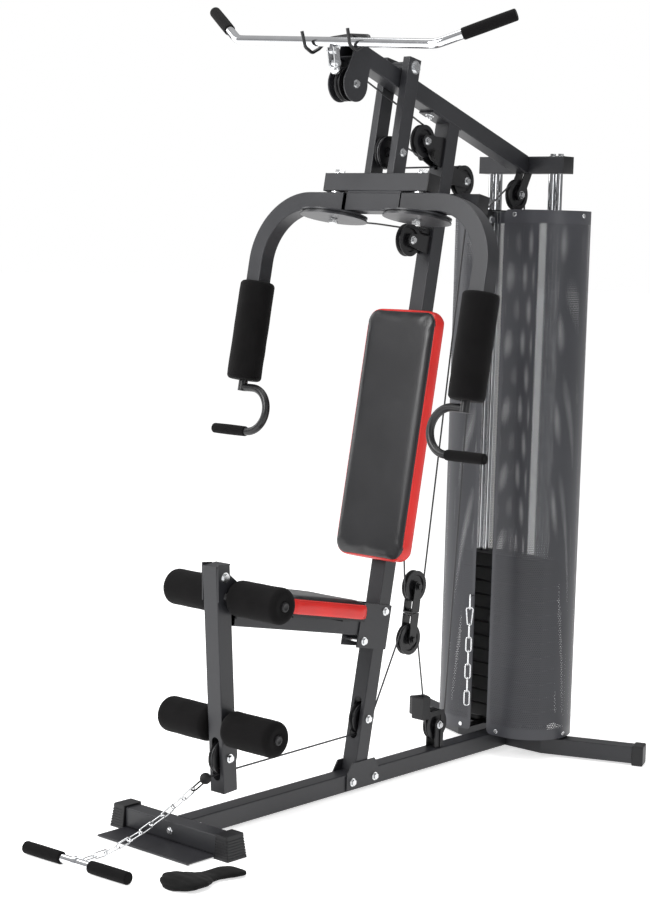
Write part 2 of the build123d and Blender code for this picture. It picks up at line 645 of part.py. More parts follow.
def arm():
    """A square tube that bends from the pivot down into the arm foam, with its round cam."""
    route = FilletPolyline((ARM_X - 44.5, ARM_T, ARM_S), (ARM_OUT_X, ARM_T, ARM_S),
                           (ARM_OUT_X, ARM_T, ARM_LOW), radius=ARM_BEND)
    start = Plane(origin=route @ 0, x_dir=(0, 1, 0), z_dir=route % 0)
    outer = sweep(start * RectangleRounded(TUBE, TUBE, CORNER), path=route)
    inner = sweep(start * Rectangle(TUBE - 2 * WALL, TUBE - 2 * WALL), path=route)
    end = box((ARM_OUT_X - HALF, ARM_OUT_X + HALF), (ARM_T - HALF, ARM_T + HALF), (ARM_LOW - 4, ARM_LOW))
    body = (outer - inner) + end
    sleeve = rod_z(15, (ARM_S - HALF, ARM_S + HALF), ARM_X, ARM_T)
    body = body + sleeve - rod_z(8 + RUNNING, (1400, 1700), ARM_X, ARM_T)
    cam = rod_z(CAM_R, (1506, 1520), ARM_X, ARM_T)
    groove = rod_z(CAM_R + 5, (1510, 1516), ARM_X, ARM_T) - rod_z(CAM_R - 7, (1509, 1517), ARM_X, ARM_T)
    cam = cam - groove + rod_z(22, (1520, ARM_S - HALF), ARM_X, ARM_T)
    cam += box((ARM_X + 40, ARM_X + 70), (ARM_T - 15, ARM_T + 15), (1520, ARM_S - HALF))
    cam -= rod_z(8 + RUNNING, (1400, 1700), ARM_X, ARM_T)
    return UPRIGHT.location * body, UPRIGHT.location * cam


def handle():
    """A round tube curled inward below the arm, its lower run pointing outward."""
    high, low = HANDLE_S + HANDLE_R, HANDLE_S - HANDLE_R
    runs = [Line((ARM_OUT_X, ARM_T, high), (HANDLE_X, ARM_T, high)),
            ThreePointArc((HANDLE_X, ARM_T, high), (HANDLE_X - HANDLE_R, ARM_T, HANDLE_S),
                          (HANDLE_X, ARM_T, low)),
            Line((HANDLE_X, ARM_T, low), (480, ARM_T, low))]
    route = Wire(runs)
    section = Plane(origin=(ARM_OUT_X, ARM_T, high), z_dir=(-1, 0, 0)) * Circle(11)
    tube_run = sweep(section, path=route)
    stub = rod_z(13, (high - 11, ARM_LOW - 4), ARM_OUT_X, ARM_T)
    return UPRIGHT.location * (tube_run + stub)


def arm_grips():
    """The long foam on the arm and the rubber grip on the handle."""
    foam = fillet(rod_z(50, (ARM_LOW - 7, 1320), ARM_OUT_X, ARM_T).edges(), 12)
    foam -= box((ARM_OUT_X - HALF - 0.2, ARM_OUT_X + HALF + 0.2), (ARM_T - HALF - 0.2, ARM_T + HALF + 0.2),
                (ARM_LOW - 4.2, 1400))
    foam -= rod_z(13.2, (1000, 1100), ARM_OUT_X, ARM_T)
    low = HANDLE_S - HANDLE_R
    grip = Rot(0, 90, 0) * Cylinder(14.5, 127) - Rot(0, 90, 0) * (Pos(0, 0, -3) * Cylinder(11.1, 127))
    grip = Pos(420.5, ARM_T, low) * grip
    return UPRIGHT.location * foam, UPRIGHT.location * grip


write("press_frame", press_frame())
write("press_hardware", *press_hardware())
for side, flip in (("right", False), ("left", True)):
    pieces = {"arm": arm(), "handle": (handle(),), "grips": arm_grips()}
    for kind, shapes in pieces.items():
        turned = [shape.mirror(Plane.YZ) if flip else shape for shape in shapes]
        write(f"{side}_{kind}", *turned)


# ---- fasteners of the fixed frame ----
def pulley_bolts():
    shapes = [bolt(FRONT_WHEEL, HALF + PLATE, WHEEL_HALF, HALF - 0.1),
              bolt(UPRIGHT_WHEEL, HALF, WHEEL_HALF, HALF - WALL - 0.1)]
    for at in (BEAM_WHEEL, BACK_WHEEL, REAR_WHEEL, GUIDE_WHEEL, BREAST_WHEEL, LOW_BASE_WHEEL):
        shapes.append(bolt(at, EAR_OUT, WHEEL_HALF, EAR_IN))
    return shapes


def cover_screws():
    """Domed screws at the front and the side of each cover, top and bottom."""
    screws = []
    front = STACK_Y - 6 - COVER_R
    for z in COVER_SCREW_Z:
        dome = Pos(66, front - 1.25, z) * (Rot(90, 0, 0) * Cylinder(6.5, 2.5))
        screws += mirrored(fillet(dome.faces().sort_by(Axis.Y)[0].edges(), 1.5))
        dome = Pos(COVER_X + COVER_R + 1.5, STACK_Y - 6, z) * (Rot(0, 90, 0) * Cylinder(6.5, 3))
        screws += mirrored(fillet(dome.faces().sort_by(Axis.X)[-1].edges(), 1.5))
    return screws


def upright_bolt(x, y, z, grip):
    """A vertical bolt with its head on top, reaching down by its grip, in the current frame."""
    head = Pos(x, y, z + 2) * extrude(RegularPolygon(9, 6), 6)
    return rod_z(BOLT_R, (z - grip, z + 3), x, y) + head + rod_z(12, (z, z + 2), x, y)


def frame_bolts():
    shapes = [bolt(at, HALF + PLATE) for at in FOOT_BOLTS]
    shapes.append(bolt(FRONT_BOLT, HALF))
    shapes += [bolt(at, SEAT_W / 2 + PLATE) for at in SEAT_BOLTS]
    shapes.append(bolt((LEVER_Y, LEVER_Z), SEAT_W / 2 + PLATE, radius=6.0))
    for y in FLANGE_BOLTS_Y:
        long_bolt = upright_bolt(0, y, TUBE, TUBE + 17)
        nut = Pos(0, y, -14) * extrude(RegularPolygon(9, 6), 7)
        shapes.append(BEAM.location * (long_bolt + nut + rod_z(12, (-7, -5), 0, y)))
    for x in CROSS_BOLTS_X:
        for side in (-x, x):
            shapes.append(upright_bolt(side, STACK_Y, BEAM_REAR_Z + TUBE, TUBE + 20))
    return shapes


write("pulley_bolts", *pulley_bolts())
write("frame_bolts", *frame_bolts(), *cover_screws())


# ---- weight stack ----
def weight_plate(index):
    """One cast plate, slotted for the rods and bored for the stem and the selector pin."""
    low = STACK_LOW + index * PLATE_PITCH
    high = low + PLATE_PITCH - PLATE_GAP
    block = box((-PLATE_HALF_X, PLATE_HALF_X), (STACK_Y - PLATE_HALF_Y, STACK_Y + PLATE_HALF_Y), (low, high))
    block = fillet(block.edges().filter_by(Axis.Z), 14)
    block = chamfer(block.faces().sort_by(Axis.Z)[-1].edges() + block.faces().sort_by(Axis.Z)[0].edges(), 4)
    middle = (ROD_X + POST_X) / 2
    for x in (-middle, middle):
        block -= Pos(x, STACK_Y, low - 1) * extrude(SlotCenterToCenter(POST_X - ROD_X, 2 * ROD_R + 3), 60)
    block -= rod_z(12, (low - 1, high + 1), 0, STACK_Y)
    bore = Pos(0, STACK_Y - 30, (low + high) / 2) * (Rot(90, 0, 0) * Cylinder(5.6, 60))
    return block - bore


PIN_Z = STACK_LOW + (PLATE_COUNT - LIFTED_COUNT + 0.5) * PLATE_PITCH - PLATE_GAP / 2
STACK_HIGH = STACK_LOW + PLATE_COUNT * PLATE_PITCH - PLATE_GAP
STEM_HIGH = STACK_HIGH + 62


def selector_stem():
    """The stem that hangs in the plates from a yoke on the top one, cross bored at every plate."""
    stem = rod_z(10, (STACK_LOW + 12, STEM_HIGH), 0, STACK_Y)
    for index in range(PLATE_COUNT):
        z = STACK_LOW + (index + 0.5) * PLATE_PITCH - PLATE_GAP / 2
        stem -= Pos(0, STACK_Y, z) * (Rot(90, 0, 0) * Cylinder(5.4, 40))
    stem += rod_z(20, (STACK_HIGH, STACK_HIGH + 8), 0, STACK_Y)
    eye = box((-7, 7), (STACK_Y - 13, STACK_Y + 13), (STEM_HIGH - 4, STEM_HIGH + 20))
    return stem + eye - rod_z(CABLE_R + 0.4, (STEM_HIGH + 6, STEM_HIGH + 30), 0, STACK_Y)


def selector_pin():
    """A straight pin with a turned knob in front of the stack."""
    pin = Pos(0, STACK_Y - 28.5, PIN_Z) * (Rot(90, 0, 0) * Cylinder(4.9, 79))
    knob = Pos(0, STACK_Y - 79, PIN_Z) * (Rot(90, 0, 0) * Cylinder(14, 28))
    knob = fillet(knob.edges(), 4)
    return pin + knob


plates = [weight_plate(index) for index in range(PLATE_COUNT)]
write("resting_plates", *plates[:PLATE_COUNT - LIFTED_COUNT])
write("lifted_plates", *plates[PLATE_COUNT - LIFTED_COUNT:])
write("selector_stem", selector_stem())
write("selector_pin", selector_pin())


# ---- floating pulley block ----
def floating_block():
    """Two forks back to back on a short bolt, each with a pulley bolt."""
    high_y, high_z = FLOAT_HIGH
    low_y, low_z = FLOAT_LOW
    mid_y, mid_z = (high_y + low_y) / 2, (high_z + low_z) / 2
    pieces = []
    for at, sign in ((FLOAT_HIGH, 1), (FLOAT_LOW, -1)):
        near = mid_z + sign * 1.0
        root = [(mid_y - 16, near), (mid_y + 16, near), (at[0] + 15, at[1]), (at[0] - 15, at[1])]
        ears = mirrored(leaf((EAR_IN, EAR_OUT), root, at, 16))
        floor = box((-EAR_OUT, EAR_OUT), (mid_y - 16, mid_y + 16), sorted((near, near + sign * PLATE)))
        body = ears[0] + ears[1] + floor
        pieces.append(body - rod_z(BOLT_R + HOLE_PLAY, (mid_z - 20, mid_z + 20), 0, mid_y))
    washer = rod_z(14, (mid_z - 1, mid_z + 1), 0, mid_y)
    swivel = washer + rod_z(BOLT_R, (mid_z - 9, mid_z + 9), 0, mid_y)
    swivel += rod_z(8, (mid_z + 5, mid_z + 10), 0, mid_y) + rod_z(8, (mid_z - 10, mid_z - 5), 0, mid_y)
    return pieces, [swivel] + [bolt(at, EAR_OUT, WHEEL_HALF, EAR_IN) for at in (FLOAT_HIGH, FLOAT_LOW)]


float_forks, float_bolts = floating_block()
write("floating_block", *float_forks, *float_bolts)


# ---- cables ----
def belt(stops):
    """A wire in the centre plane round wheels and points.

    Each stop is ((y, z), radius, turn): turn is 1 where the cable runs counter-clockwise
    with +Y to the right, -1 where it runs clockwise, and a plain point has radius 0.
    """
    heads = []
    for (a, ra, sa), (b, rb, sb) in zip(stops, stops[1:]):
        reach = hypot(b[0] - a[0], b[1] - a[1])
        heads.append(atan2(b[1] - a[1], b[0] - a[0]) - asin((sb * rb - sa * ra) / reach))

    def touch(stop, angle):
        (y, z), radius, turn = stop
        return (0, y + turn * radius * sin(angle), z - turn * radius * cos(angle))

    edges = []
    for index, angle in enumerate(heads):
        edges.append(Line(touch(stops[index], angle), touch(stops[index + 1], angle)))
        stop = stops[index + 1]
        if index + 1 < len(heads) and stop[1]:
            turned = (heads[index + 1] - angle) * stop[2]
            middle = angle + stop[2] * (turned % (2 * pi)) / 2
            ends = (touch(stop, angle), touch(stop, middle), touch(stop, heads[index + 1]))
            edges.append(ThreePointArc(*ends))
    return Wire(edges)


def cable(route):
    """A round cable along a wire, with its length and its volume over section times length."""
    start = Plane(origin=route @ 0, z_dir=route % 0)
    shape = sweep(start * Circle(CABLE_R), path=route)
    share = shape.volume / (pi * CABLE_R ** 2 * route.length)
    print("cable length", round(route.length), "volume share", round(share, 4))
    return shape


def stop_ball(route, radius):
    """A ball on the start of a cable, bored for it."""
    start = Plane(origin=route @ 0, z_dir=route % 0)
    return Pos(*(route @ 0)) * Sphere(radius) - start.location * (Pos(0, 0, 10) * Cylinder(CABLE_R + 0.4, 21))


def main_route():
    """From the lat bar's link over the front, beam, press and back pulleys to the floating block."""
    run = WHEEL_R - GROOVE
    start = (FRONT_WHEEL[0] - 50, FRONT_WHEEL[1] + 34)
    anchor = on(UPRIGHT, TUBE + 27, 735.0)
    return belt([(start, 0, 1), (FRONT_WHEEL, run, -1), (BEAM_WHEEL, run, -1), (PRESS_WHEEL, run, 1),
                 (BACK_WHEEL, run, -1), (FLOAT_HIGH, run, -1), (anchor, 0, 1)])


def low_route():
    """From the stop ball under the lever, up over the block, under the base pulley to the stack."""
    run = WHEEL_R - GROOVE
    start = (LEVER_WHEEL_AT[0] - 62, LEVER_WHEEL_AT[1] - 46)
    return belt([(start, 0, 1), (LEVER_WHEEL_AT, run, 1), (UPRIGHT_WHEEL, run, 1), (FLOAT_LOW, run, -1),
                 (LOW_BASE_WHEEL, run, 1), (GUIDE_WHEEL, GUIDE_R - GROOVE, -1), (REAR_WHEEL, run, -1),
                 ((STACK_Y, STEM_HIGH + 7), 0, 1)])


def butterfly_cable():
    """A short cable from a cam's rim to a clamp above the pulley on the upright."""
    start = UPRIGHT.from_local_coords(Vector(ARM_X - 20, ARM_T + CAM_R - 4, 1513))
    end = UPRIGHT.from_local_coords(Vector(13, -22, 1519))
    middle = UPRIGHT.from_local_coords(Vector(ARM_X - 62, ARM_T + CAM_R - 4, 1513))
    route = FilletPolyline(start, middle, end, radius=60)
    return sweep(Plane(origin=route @ 0, z_dir=route % 0) * Circle(CABLE_R), path=route)


def cable_clamp():
    block = box((-12.6, 12.6), (-34, 0), (1510, 1528))
    return UPRIGHT.location * fillet(block.edges().filter_by(Axis.X), 3)


MAIN_ROUTE = main_route()
LOW_ROUTE = low_route()
write("main_cable", cable(MAIN_ROUTE))
write("low_cable", cable(LOW_ROUTE))
write("butterfly_cables", *mirrored(butterfly_cable()), cable_clamp())


# ---- lat bar ----
def lat_bar():
    """A straight chrome bar with raised ends and a lug for the link."""
    bend = (BAR_HALF, 0, 0)
    tip = (518, 82, 79)
    route = FilletPolyline((-tip[0], tip[1], tip[2]), (-bend[0], 0, 0), bend, tip, radius=60)
    bar = sweep(Plane(origin=route @ 0, z_dir=route % 0) * Circle(BAR_R), path=route)
    grip_start = Vector(*bend) + (Vector(*tip) - Vector(*bend)) * 0.34
    direction = (Vector(*tip) - Vector(*bend)).normalized()
    spot = Plane(origin=grip_start, z_dir=direction)
    grip = spot.location * (Pos(0, 0, 72) * Cylinder(16, 144) - Pos(0, 0, 69) * Cylinder(BAR_R + 0.1, 144))
    return bar, grip


def place_bar(shape):
    return Pos(BAR_SHIFT, BAR_Y, BAR_Z) * (Rot(0, BAR_TILT, 0) * shape)


LINK_LOW = ((MAIN_ROUTE @ 0).Y - 4, (MAIN_ROUTE @ 0).Z + 17)
LINK_HIGH = (BAR_Y - 3, BAR_Z - 24)


def lat_link():
    """Two bright plates and two bolts from the bar's lug down to the neck of the stop ball."""
    low, high = LINK_LOW, LINK_HIGH
    side = slab_x([(low[0] - 11, low[1] - 9), (low[0] + 11, low[1] - 9),
                   (high[0] + 11, high[1] + 9), (high[0] - 11, high[1] + 9)], (9, 12))
    plates = mirrored(side)
    link = plates[0] + plates[1]
    for at in (low, high):
        link += rod_x(4, (-16, 16), at) + rod_x(7.5, (12, 15.5), at) + rod_x(7.5, (-15.5, -12), at)
    neck = rod_x(8, (-7, 7), low) + box((-7, 7), (low[0] - 4, low[0] + 7), (low[1] - 12, low[1]))
    ball = stop_ball(MAIN_ROUTE, 14) + neck
    return [link, ball - rod_x(4.2, (-16, 16), low)]


def bar_lug():
    """The lug under the middle of the lat bar."""
    y, z = LINK_HIGH
    lug = rod_x(9, (-5, 5), LINK_HIGH) + box((-5, 5), (y - 8, y + 8), (z, BAR_Z - 6))
    return lug - rod_x(4.2, (-9, 9), LINK_HIGH)


bar_shape, grip_shape = lat_bar()
write("lat_bar", place_bar(bar_shape) + bar_lug())
write("lat_grips", place_bar(grip_shape), place_bar(grip_shape.mirror(Plane.YZ)))
write("lat_link", *lat_link())


# ---- chains, row bar, strap ----
def link_shape_of(length, width, wire):
    """One chain link, its long side along local Z, lying in the local XZ plane."""
    half, radius = length / 2 - wire - width / 2 + wire, width / 2 - wire
    route = Wire([Line((radius, 0, -half), (radius, 0, half)),
                  ThreePointArc((radius, 0, half), (0, 0, half + radius), (-radius, 0, half)),
                  Line((-radius, 0, half), (-radius, 0, -half)),
                  ThreePointArc((-radius, 0, -half), (0, 0, -half - radius), (radius, 0, -half))])
    return sweep(Plane(origin=route @ 0, z_dir=route % 0) * Circle(wire), path=route)


LINK_LENGTH = 50.0
LINK_WIDTH = 20.0
LINK_WIRE = 2.2


def chain(route):
    """Links along a wire, every second one turned by a quarter, a little looser than taut."""
    count = int(route.length // (LINK_LENGTH - 4 * LINK_WIRE - 0.4)) + 1
    links = []
    for index in range(count):
        share = (index + 0.5) / count
        spot = Plane(origin=route @ share, x_dir=(1, 0, 0.001), z_dir=route % share)
        link = link_shape_of(LINK_LENGTH, LINK_WIDTH, LINK_WIRE)
        links.append(spot.location * (Rot(0, 0, 90 * (index % 2)) * link))
    return links


def snap_hook(length):
    """A pear-shaped wire hook, its wide end up, lying in the local XZ plane."""
    h = length / 2 - LINK_WIRE
    route = FilletPolyline((5.5, 0, -h), (10.5, 0, h), (-10.5, 0, h), (-5.5, 0, -h), radius=5, close=True)
    return sweep(Plane(origin=route @ 0, z_dir=route % 0) * Circle(LINK_WIRE), path=route)


ROW_BAR_AT = Pos(-10, -303, 16) * Rot(0, 0, 2.9)
ROW_EYE_Y = 17.0


def row_chain():
    """The chain from the row bar's eye up over the front stabilizer to the low cable's ball."""
    eye = (ROW_BAR_AT * Pos(0, ROW_EYE_Y, 0)).position
    ball_at = LOW_ROUTE @ 0
    start = (eye.X, eye.Y + 2 * LINK_WIRE, eye.Z)
    end = (0, ball_at.Y - 8, ball_at.Z - 5)
    bends = [(-12, -190, 18), (-8, -110, 40), (-4, -30, 70), (0, 45, 106)]
    route = FilletPolyline(start, *bends, end, radius=60)
    links = chain(route)
    return links[:-1] + [links[-1] + stop_ball(LOW_ROUTE, 15)]


def spare_chain():
    """A short chain that hangs in front of the stack, with a snap hook above and two below."""
    x, y, z = -34, STACK_Y - 6 - COVER_R - 16, 480.0
    pin = Pos(x, y + 8, z - 7) * (Rot(90, 0, 0) * Cylinder(3, 16))
    lengths = [LINK_LENGTH, 56] + [LINK_LENGTH] * 6
    top = z
    pieces = []
    for index, length in enumerate(lengths):
        piece = snap_hook(length) if index == 1 else link_shape_of(length, LINK_WIDTH, LINK_WIRE)
        turn = 41 if index % 2 else -49
        pieces.append(Pos(x, y, top - length / 2) * (Rot(0, 0, turn) * piece))
        top -= length - 4 * LINK_WIRE - 0.2
    pieces[0] = pieces[0] + pin
    return pieces


def row_bar():
    """A short chrome bar on the floor with an eye for the chain, and its two grips."""
    bar = rod_x(11, (-172, 172), (0, 0)) + rod_x(15, (-4, 4), (0, 0))
    bar += rod_x(9.5, (-2.5, 2.5), (ROW_EYE_Y, 0)) - rod_x(11, (-9, 9), (0, 0))
    bar -= rod_x(5.5, (-5, 5), (ROW_EYE_Y, 0))
    grip = rod_x(16, (48, 176), (0, 0)) - rod_x(11.1, (40, 172.2), (0, 0))
    return ROW_BAR_AT * bar, [ROW_BAR_AT * side for side in mirrored(grip)]


def ankle_strap():
    """A padded strap that lies folded on the floor beside the front stabilizer."""
    outline = make_face(Polyline((198, -247), (205, -160), (214, -105), (250, -52), (289, -27),
                                 (309, -60), (322, -150), (319, -243), (258, -258), close=True))
    outline = fillet(outline.vertices(), 12)
    strap = extrude(outline, 26)
    return fillet(strap.faces().sort_by(Axis.Z)[-1].edges(), 6)


row_bar_shape, row_grip_shapes = row_bar()
write("row_chain", *row_chain())
write("spare_chain", *spare_chain())
write("row_bar", row_bar_shape)
write("row_grips", *row_grip_shapes)
write("ankle_strap", ankle_strap())
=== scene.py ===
import json
import math
import bpy
import bmesh
from mathutils import Matrix, Vector, noise


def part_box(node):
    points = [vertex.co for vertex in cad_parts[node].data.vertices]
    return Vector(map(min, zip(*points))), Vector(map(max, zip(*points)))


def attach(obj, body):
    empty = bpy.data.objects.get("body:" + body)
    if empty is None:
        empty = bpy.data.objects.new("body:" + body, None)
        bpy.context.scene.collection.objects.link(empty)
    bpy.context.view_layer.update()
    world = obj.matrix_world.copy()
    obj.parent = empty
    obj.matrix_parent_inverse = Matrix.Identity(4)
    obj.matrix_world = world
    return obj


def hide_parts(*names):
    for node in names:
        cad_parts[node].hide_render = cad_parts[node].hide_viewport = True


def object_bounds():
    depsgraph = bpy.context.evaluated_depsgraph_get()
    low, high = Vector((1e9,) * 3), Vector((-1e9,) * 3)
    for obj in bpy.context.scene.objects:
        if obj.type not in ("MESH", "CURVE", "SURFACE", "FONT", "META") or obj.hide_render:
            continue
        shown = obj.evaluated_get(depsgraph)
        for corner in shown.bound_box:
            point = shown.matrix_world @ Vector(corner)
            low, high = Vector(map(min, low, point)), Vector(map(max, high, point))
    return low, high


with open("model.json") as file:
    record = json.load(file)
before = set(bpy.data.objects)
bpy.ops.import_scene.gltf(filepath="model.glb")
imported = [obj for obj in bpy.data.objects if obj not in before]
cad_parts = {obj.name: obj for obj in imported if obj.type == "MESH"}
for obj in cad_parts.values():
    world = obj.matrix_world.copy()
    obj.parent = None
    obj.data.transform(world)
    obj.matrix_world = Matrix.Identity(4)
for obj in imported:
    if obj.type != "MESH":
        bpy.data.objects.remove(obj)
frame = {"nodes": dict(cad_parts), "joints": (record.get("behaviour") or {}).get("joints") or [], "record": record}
CAD_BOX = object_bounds()
NODES = frame["nodes"]
JOINTS = {joint["name"]: joint for joint in frame["joints"]}
UP = Vector(JOINTS["block_travel"]["axis"]).normalized()     # along the leaning upright
X_AXIS, Y_AXIS, Z_AXIS = Vector((1, 0, 0)), Vector((0, 1, 0)), Vector((0, 0, 1))
REAR = UP.cross(X_AXIS).normalized()                         # square to the upright, rearward
BODY_OF = {node: body for body, nodes in frame["record"]["behaviour"]["bodies"].items() for node in nodes}


# ---- geometry helpers ----
def islands(node):
    """The corners of each separate solid of a CAD node."""
    mesh = NODES[node].data
    keys, ids = {}, []
    for vertex in mesh.vertices:
        key = tuple(round(c, 5) for c in vertex.co)
        ids.append(keys.setdefault(key, len(keys)))
    parent = list(range(len(keys)))

    def root(i):
        while parent[i] != i:
            parent[i] = parent[parent[i]]
            i = parent[i]
        return i

    for edge in mesh.edges:
        a, b = (root(ids[v]) for v in edge.vertices)
        if a != b:
            parent[a] = b
    groups = {}
    for vertex, i in zip(mesh.vertices, ids):
        groups.setdefault(root(i), []).append(vertex.co.copy())
    return sorted(groups.values(), key=lambda g: -len(g))


def span(points, axis):
    """Lowest and highest of the points along an axis."""
    values = [p.dot(axis) for p in points]
    return min(values), max(values)


def axes_of(along):
    """Two unit vectors square to an axis and to each other."""
    side = along.cross(X_AXIS if abs(along.x) < 0.9 else Z_AXIS).normalized()
    return side, along.cross(side).normalized()


def middle(points, along):
    """The point at the middle of the points' box, in the frame of an axis."""
    side, other = axes_of(along)
    return sum((v * (sum(span(points, v)) / 2) for v in (along, side, other)), Vector())


def new_mesh(name, vertices, faces, materials, smooth=True):
    mesh = bpy.data.meshes.new(name)
    mesh.from_pydata([tuple(v) for v in vertices], [], faces)
    mesh.validate()
    mesh.polygons.foreach_set("use_smooth", [smooth] * len(mesh.polygons))
    obj = bpy.data.objects.new(name, mesh)
    bpy.context.scene.collection.objects.link(obj)
    for material in materials:
        mesh.materials.append(material)
    return obj


def ride(obj, body):
    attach(obj, body)
    return obj


def lathe(name, centre, along, profile, material, segments=56, wobble=0.0):
    """A closed turned shape: profile lists (distance along, radius) from the centre point."""
    side, other = axes_of(along)
    vertices, faces = [], []
    rings = len(profile)
    for row, (reach, radius) in enumerate(profile):
        for step in range(segments):
            angle = 2 * math.pi * step / segments
            out = side * math.cos(angle) + other * math.sin(angle)
            grow = 0.0
            if wobble and radius > 0.02:
                grow = wobble * noise.noise((centre + along * reach + out * radius) * 28.0)
            vertices.append(centre + along * reach + out * (radius + grow))
    for row in range(rings - 1):
        for step in range(segments):
            after = (step + 1) % segments
            a, b = row * segments + step, row * segments + after
            faces.append((a, b, b + segments, a + segments))
    faces.append(tuple(range(segments - 1, -1, -1)))
    faces.append(tuple((rings - 1) * segments + step for step in range(segments)))
    obj = new_mesh(name, vertices, faces, [material])
    fix_normals(obj)
    return obj


def fix_normals(obj):
    bm = bmesh.new()
    bm.from_mesh(obj.data)
    bmesh.ops.recalc_face_normals(bm, faces=bm.faces)
    bm.to_mesh(obj.data)
    bm.free()


def bevelled_block(name, centre, axes, size, bevel, material, segments=3):
    """A small block with rounded edges, on three given axes."""
    bm = bmesh.new()
    bmesh.ops.create_cube(bm, size=1.0)
    for vertex in bm.verts:
        vertex.co = Vector(vertex.co[i] * size[i] for i in range(3))
    bmesh.ops.bevel(bm, geom=bm.edges[:], offset=bevel, segments=segments, profile=0.5, affect="EDGES")
    turn = Matrix(axes).transposed()
    for vertex in bm.verts:
        vertex.co = turn @ vertex.co + centre
    bmesh.ops.recalc_face_normals(bm, faces=bm.faces)
    mesh = bpy.data.meshes.new(name)
    bm.to_mesh(mesh)
    bm.free()
    mesh.polygons.foreach_set("use_smooth", [True] * len(mesh.polygons))
    obj = bpy.data.objects.new(name, mesh)
    bpy.context.scene.collection.objects.link(obj)
    mesh.materials.append(material)
    return obj


# ---- materials ----
def base_material(name, colour, rough, metallic=0.0, specular=0.5, coat=0.0, coat_rough=0.15, sheen=0.0):
    material = bpy.data.materials.new(name)
    material.use_nodes = True
    tree = material.node_tree
    shader = tree.nodes["Principled BSDF"]
    shader.inputs["Base Color"].default_value = (*colour, 1)
    shader.inputs["Roughness"].default_value = rough
    shader.inputs["Metallic"].default_value = metallic
    shader.inputs["Specular IOR Level"].default_value = specular
    shader.inputs["Coat Weight"].default_value = coat
    shader.inputs["Coat Roughness"].default_value = coat_rough
    shader.inputs["Sheen Weight"].default_value = sheen
    shader.inputs["Sheen Roughness"].default_value = 0.5
    return material, tree, shader


def add(tree, kind, **values):
    node = tree.nodes.new(kind)
    for key, value in values.items():
        if key in node.inputs:
            node.inputs[key].default_value = value
        else:
            setattr(node, key, value)
    return node


def coords(tree):
    """The place on the object, in metres."""
    source = add(tree, "ShaderNodeTexCoord")
    mapping = add(tree, "ShaderNodeMapping")
    tree.links.new(source.outputs["Object"], mapping.inputs["Vector"])
    return mapping.outputs["Vector"]


def noise_node(tree, vector, scale, detail=3.0, rough=0.55):
    node = add(tree, "ShaderNodeTexNoise")
    node.inputs["Scale"].default_value = scale
    node.inputs["Detail"].default_value = detail
    node.inputs["Roughness"].default_value = rough
    tree.links.new(vector, node.inputs["Vector"])
    return node.outputs["Fac"]


def ramp(tree, fac, stops):
    node = add(tree, "ShaderNodeValToRGB")
    node.color_ramp.elements[0].position, node.color_ramp.elements[0].color = stops[0][0], (*stops[0][1], 1)
    node.color_ramp.elements[1].position, node.color_ramp.elements[1].color = stops[-1][0], (*stops[-1][1], 1)
    for place, colour in stops[1:-1]:
        node.color_ramp.elements.new(place).color = (*colour, 1)
    tree.links.new(fac, node.inputs["Fac"])
    return node.outputs["Color"]


def spread(tree, fac, low, high):
    node = add(tree, "ShaderNodeMapRange")
    node.inputs["To Min"].default_value = low
    node.inputs["To Max"].default_value = high
    tree.links.new(fac, node.inputs["Value"])
    return node.outputs["Result"]


def bump(tree, shader, height, strength, distance, under=None):
    node = add(tree, "ShaderNodeBump")
    node.inputs["Strength"].default_value = strength
    node.inputs["Distance"].default_value = distance
    tree.links.new(height, node.inputs["Height"])
    if under is not None:
        tree.links.new(under, node.inputs["Normal"])
    tree.links.new(node.outputs["Normal"], shader.inputs["Normal"])
    return node.outputs["Normal"]


def shade(colour, factor):
    return tuple(min(1.0, c * factor) for c in colour)


def powder_coat(name, colour, rough=0.42, grain=1.0):
    """Baked powder paint: fine orange peel, a slight mottle, and dull patches."""
    material, tree, shader = base_material(name, colour, rough, specular=0.45)
    place = coords(tree)
    cloud = noise_node(tree, place, 7.0, 4.0)
    speck = noise_node(tree, place, 900.0, 2.0)
    tint = ramp(tree, cloud, [(0.3, shade(colour, 0.86)), (0.55, colour), (0.8, shade(colour, 1.18))])
    mix = add(tree, "ShaderNodeMix", data_type="RGBA", blend_type="OVERLAY")
    mix.inputs["Factor"].default_value = 0.25 * grain
    tree.links.new(tint, mix.inputs["A"])
    tree.links.new(speck, mix.inputs["B"])
    tree.links.new(mix.outputs["Result"], shader.inputs["Base Color"])
    tree.links.new(spread(tree, cloud, rough - 0.07, rough + 0.09), shader.inputs["Roughness"])
    peel = noise_node(tree, place, 420.0, 2.0)
    bump(tree, shader, peel, 0.12 * grain, 0.0006)
    return material


def moulded(name, colour, rough=0.5, scale=1400.0, depth=0.1):
    """Moulded plastic or rubber with a fine spark-eroded grain."""
    material, tree, shader = base_material(name, colour, rough, specular=0.4)
    place = coords(tree)
    cloud = noise_node(tree, place, 18.0, 3.0)
    tree.links.new(ramp(tree, cloud, [(0.3, shade(colour, 0.8)), (0.75, shade(colour, 1.35))]),
                   shader.inputs["Base Color"])
    tree.links.new(spread(tree, cloud, rough - 0.08, rough + 0.1), shader.inputs["Roughness"])
    grain = noise_node(tree, place, scale, 2.0)
    bump(tree, shader, grain, depth, 0.0005)
    return material


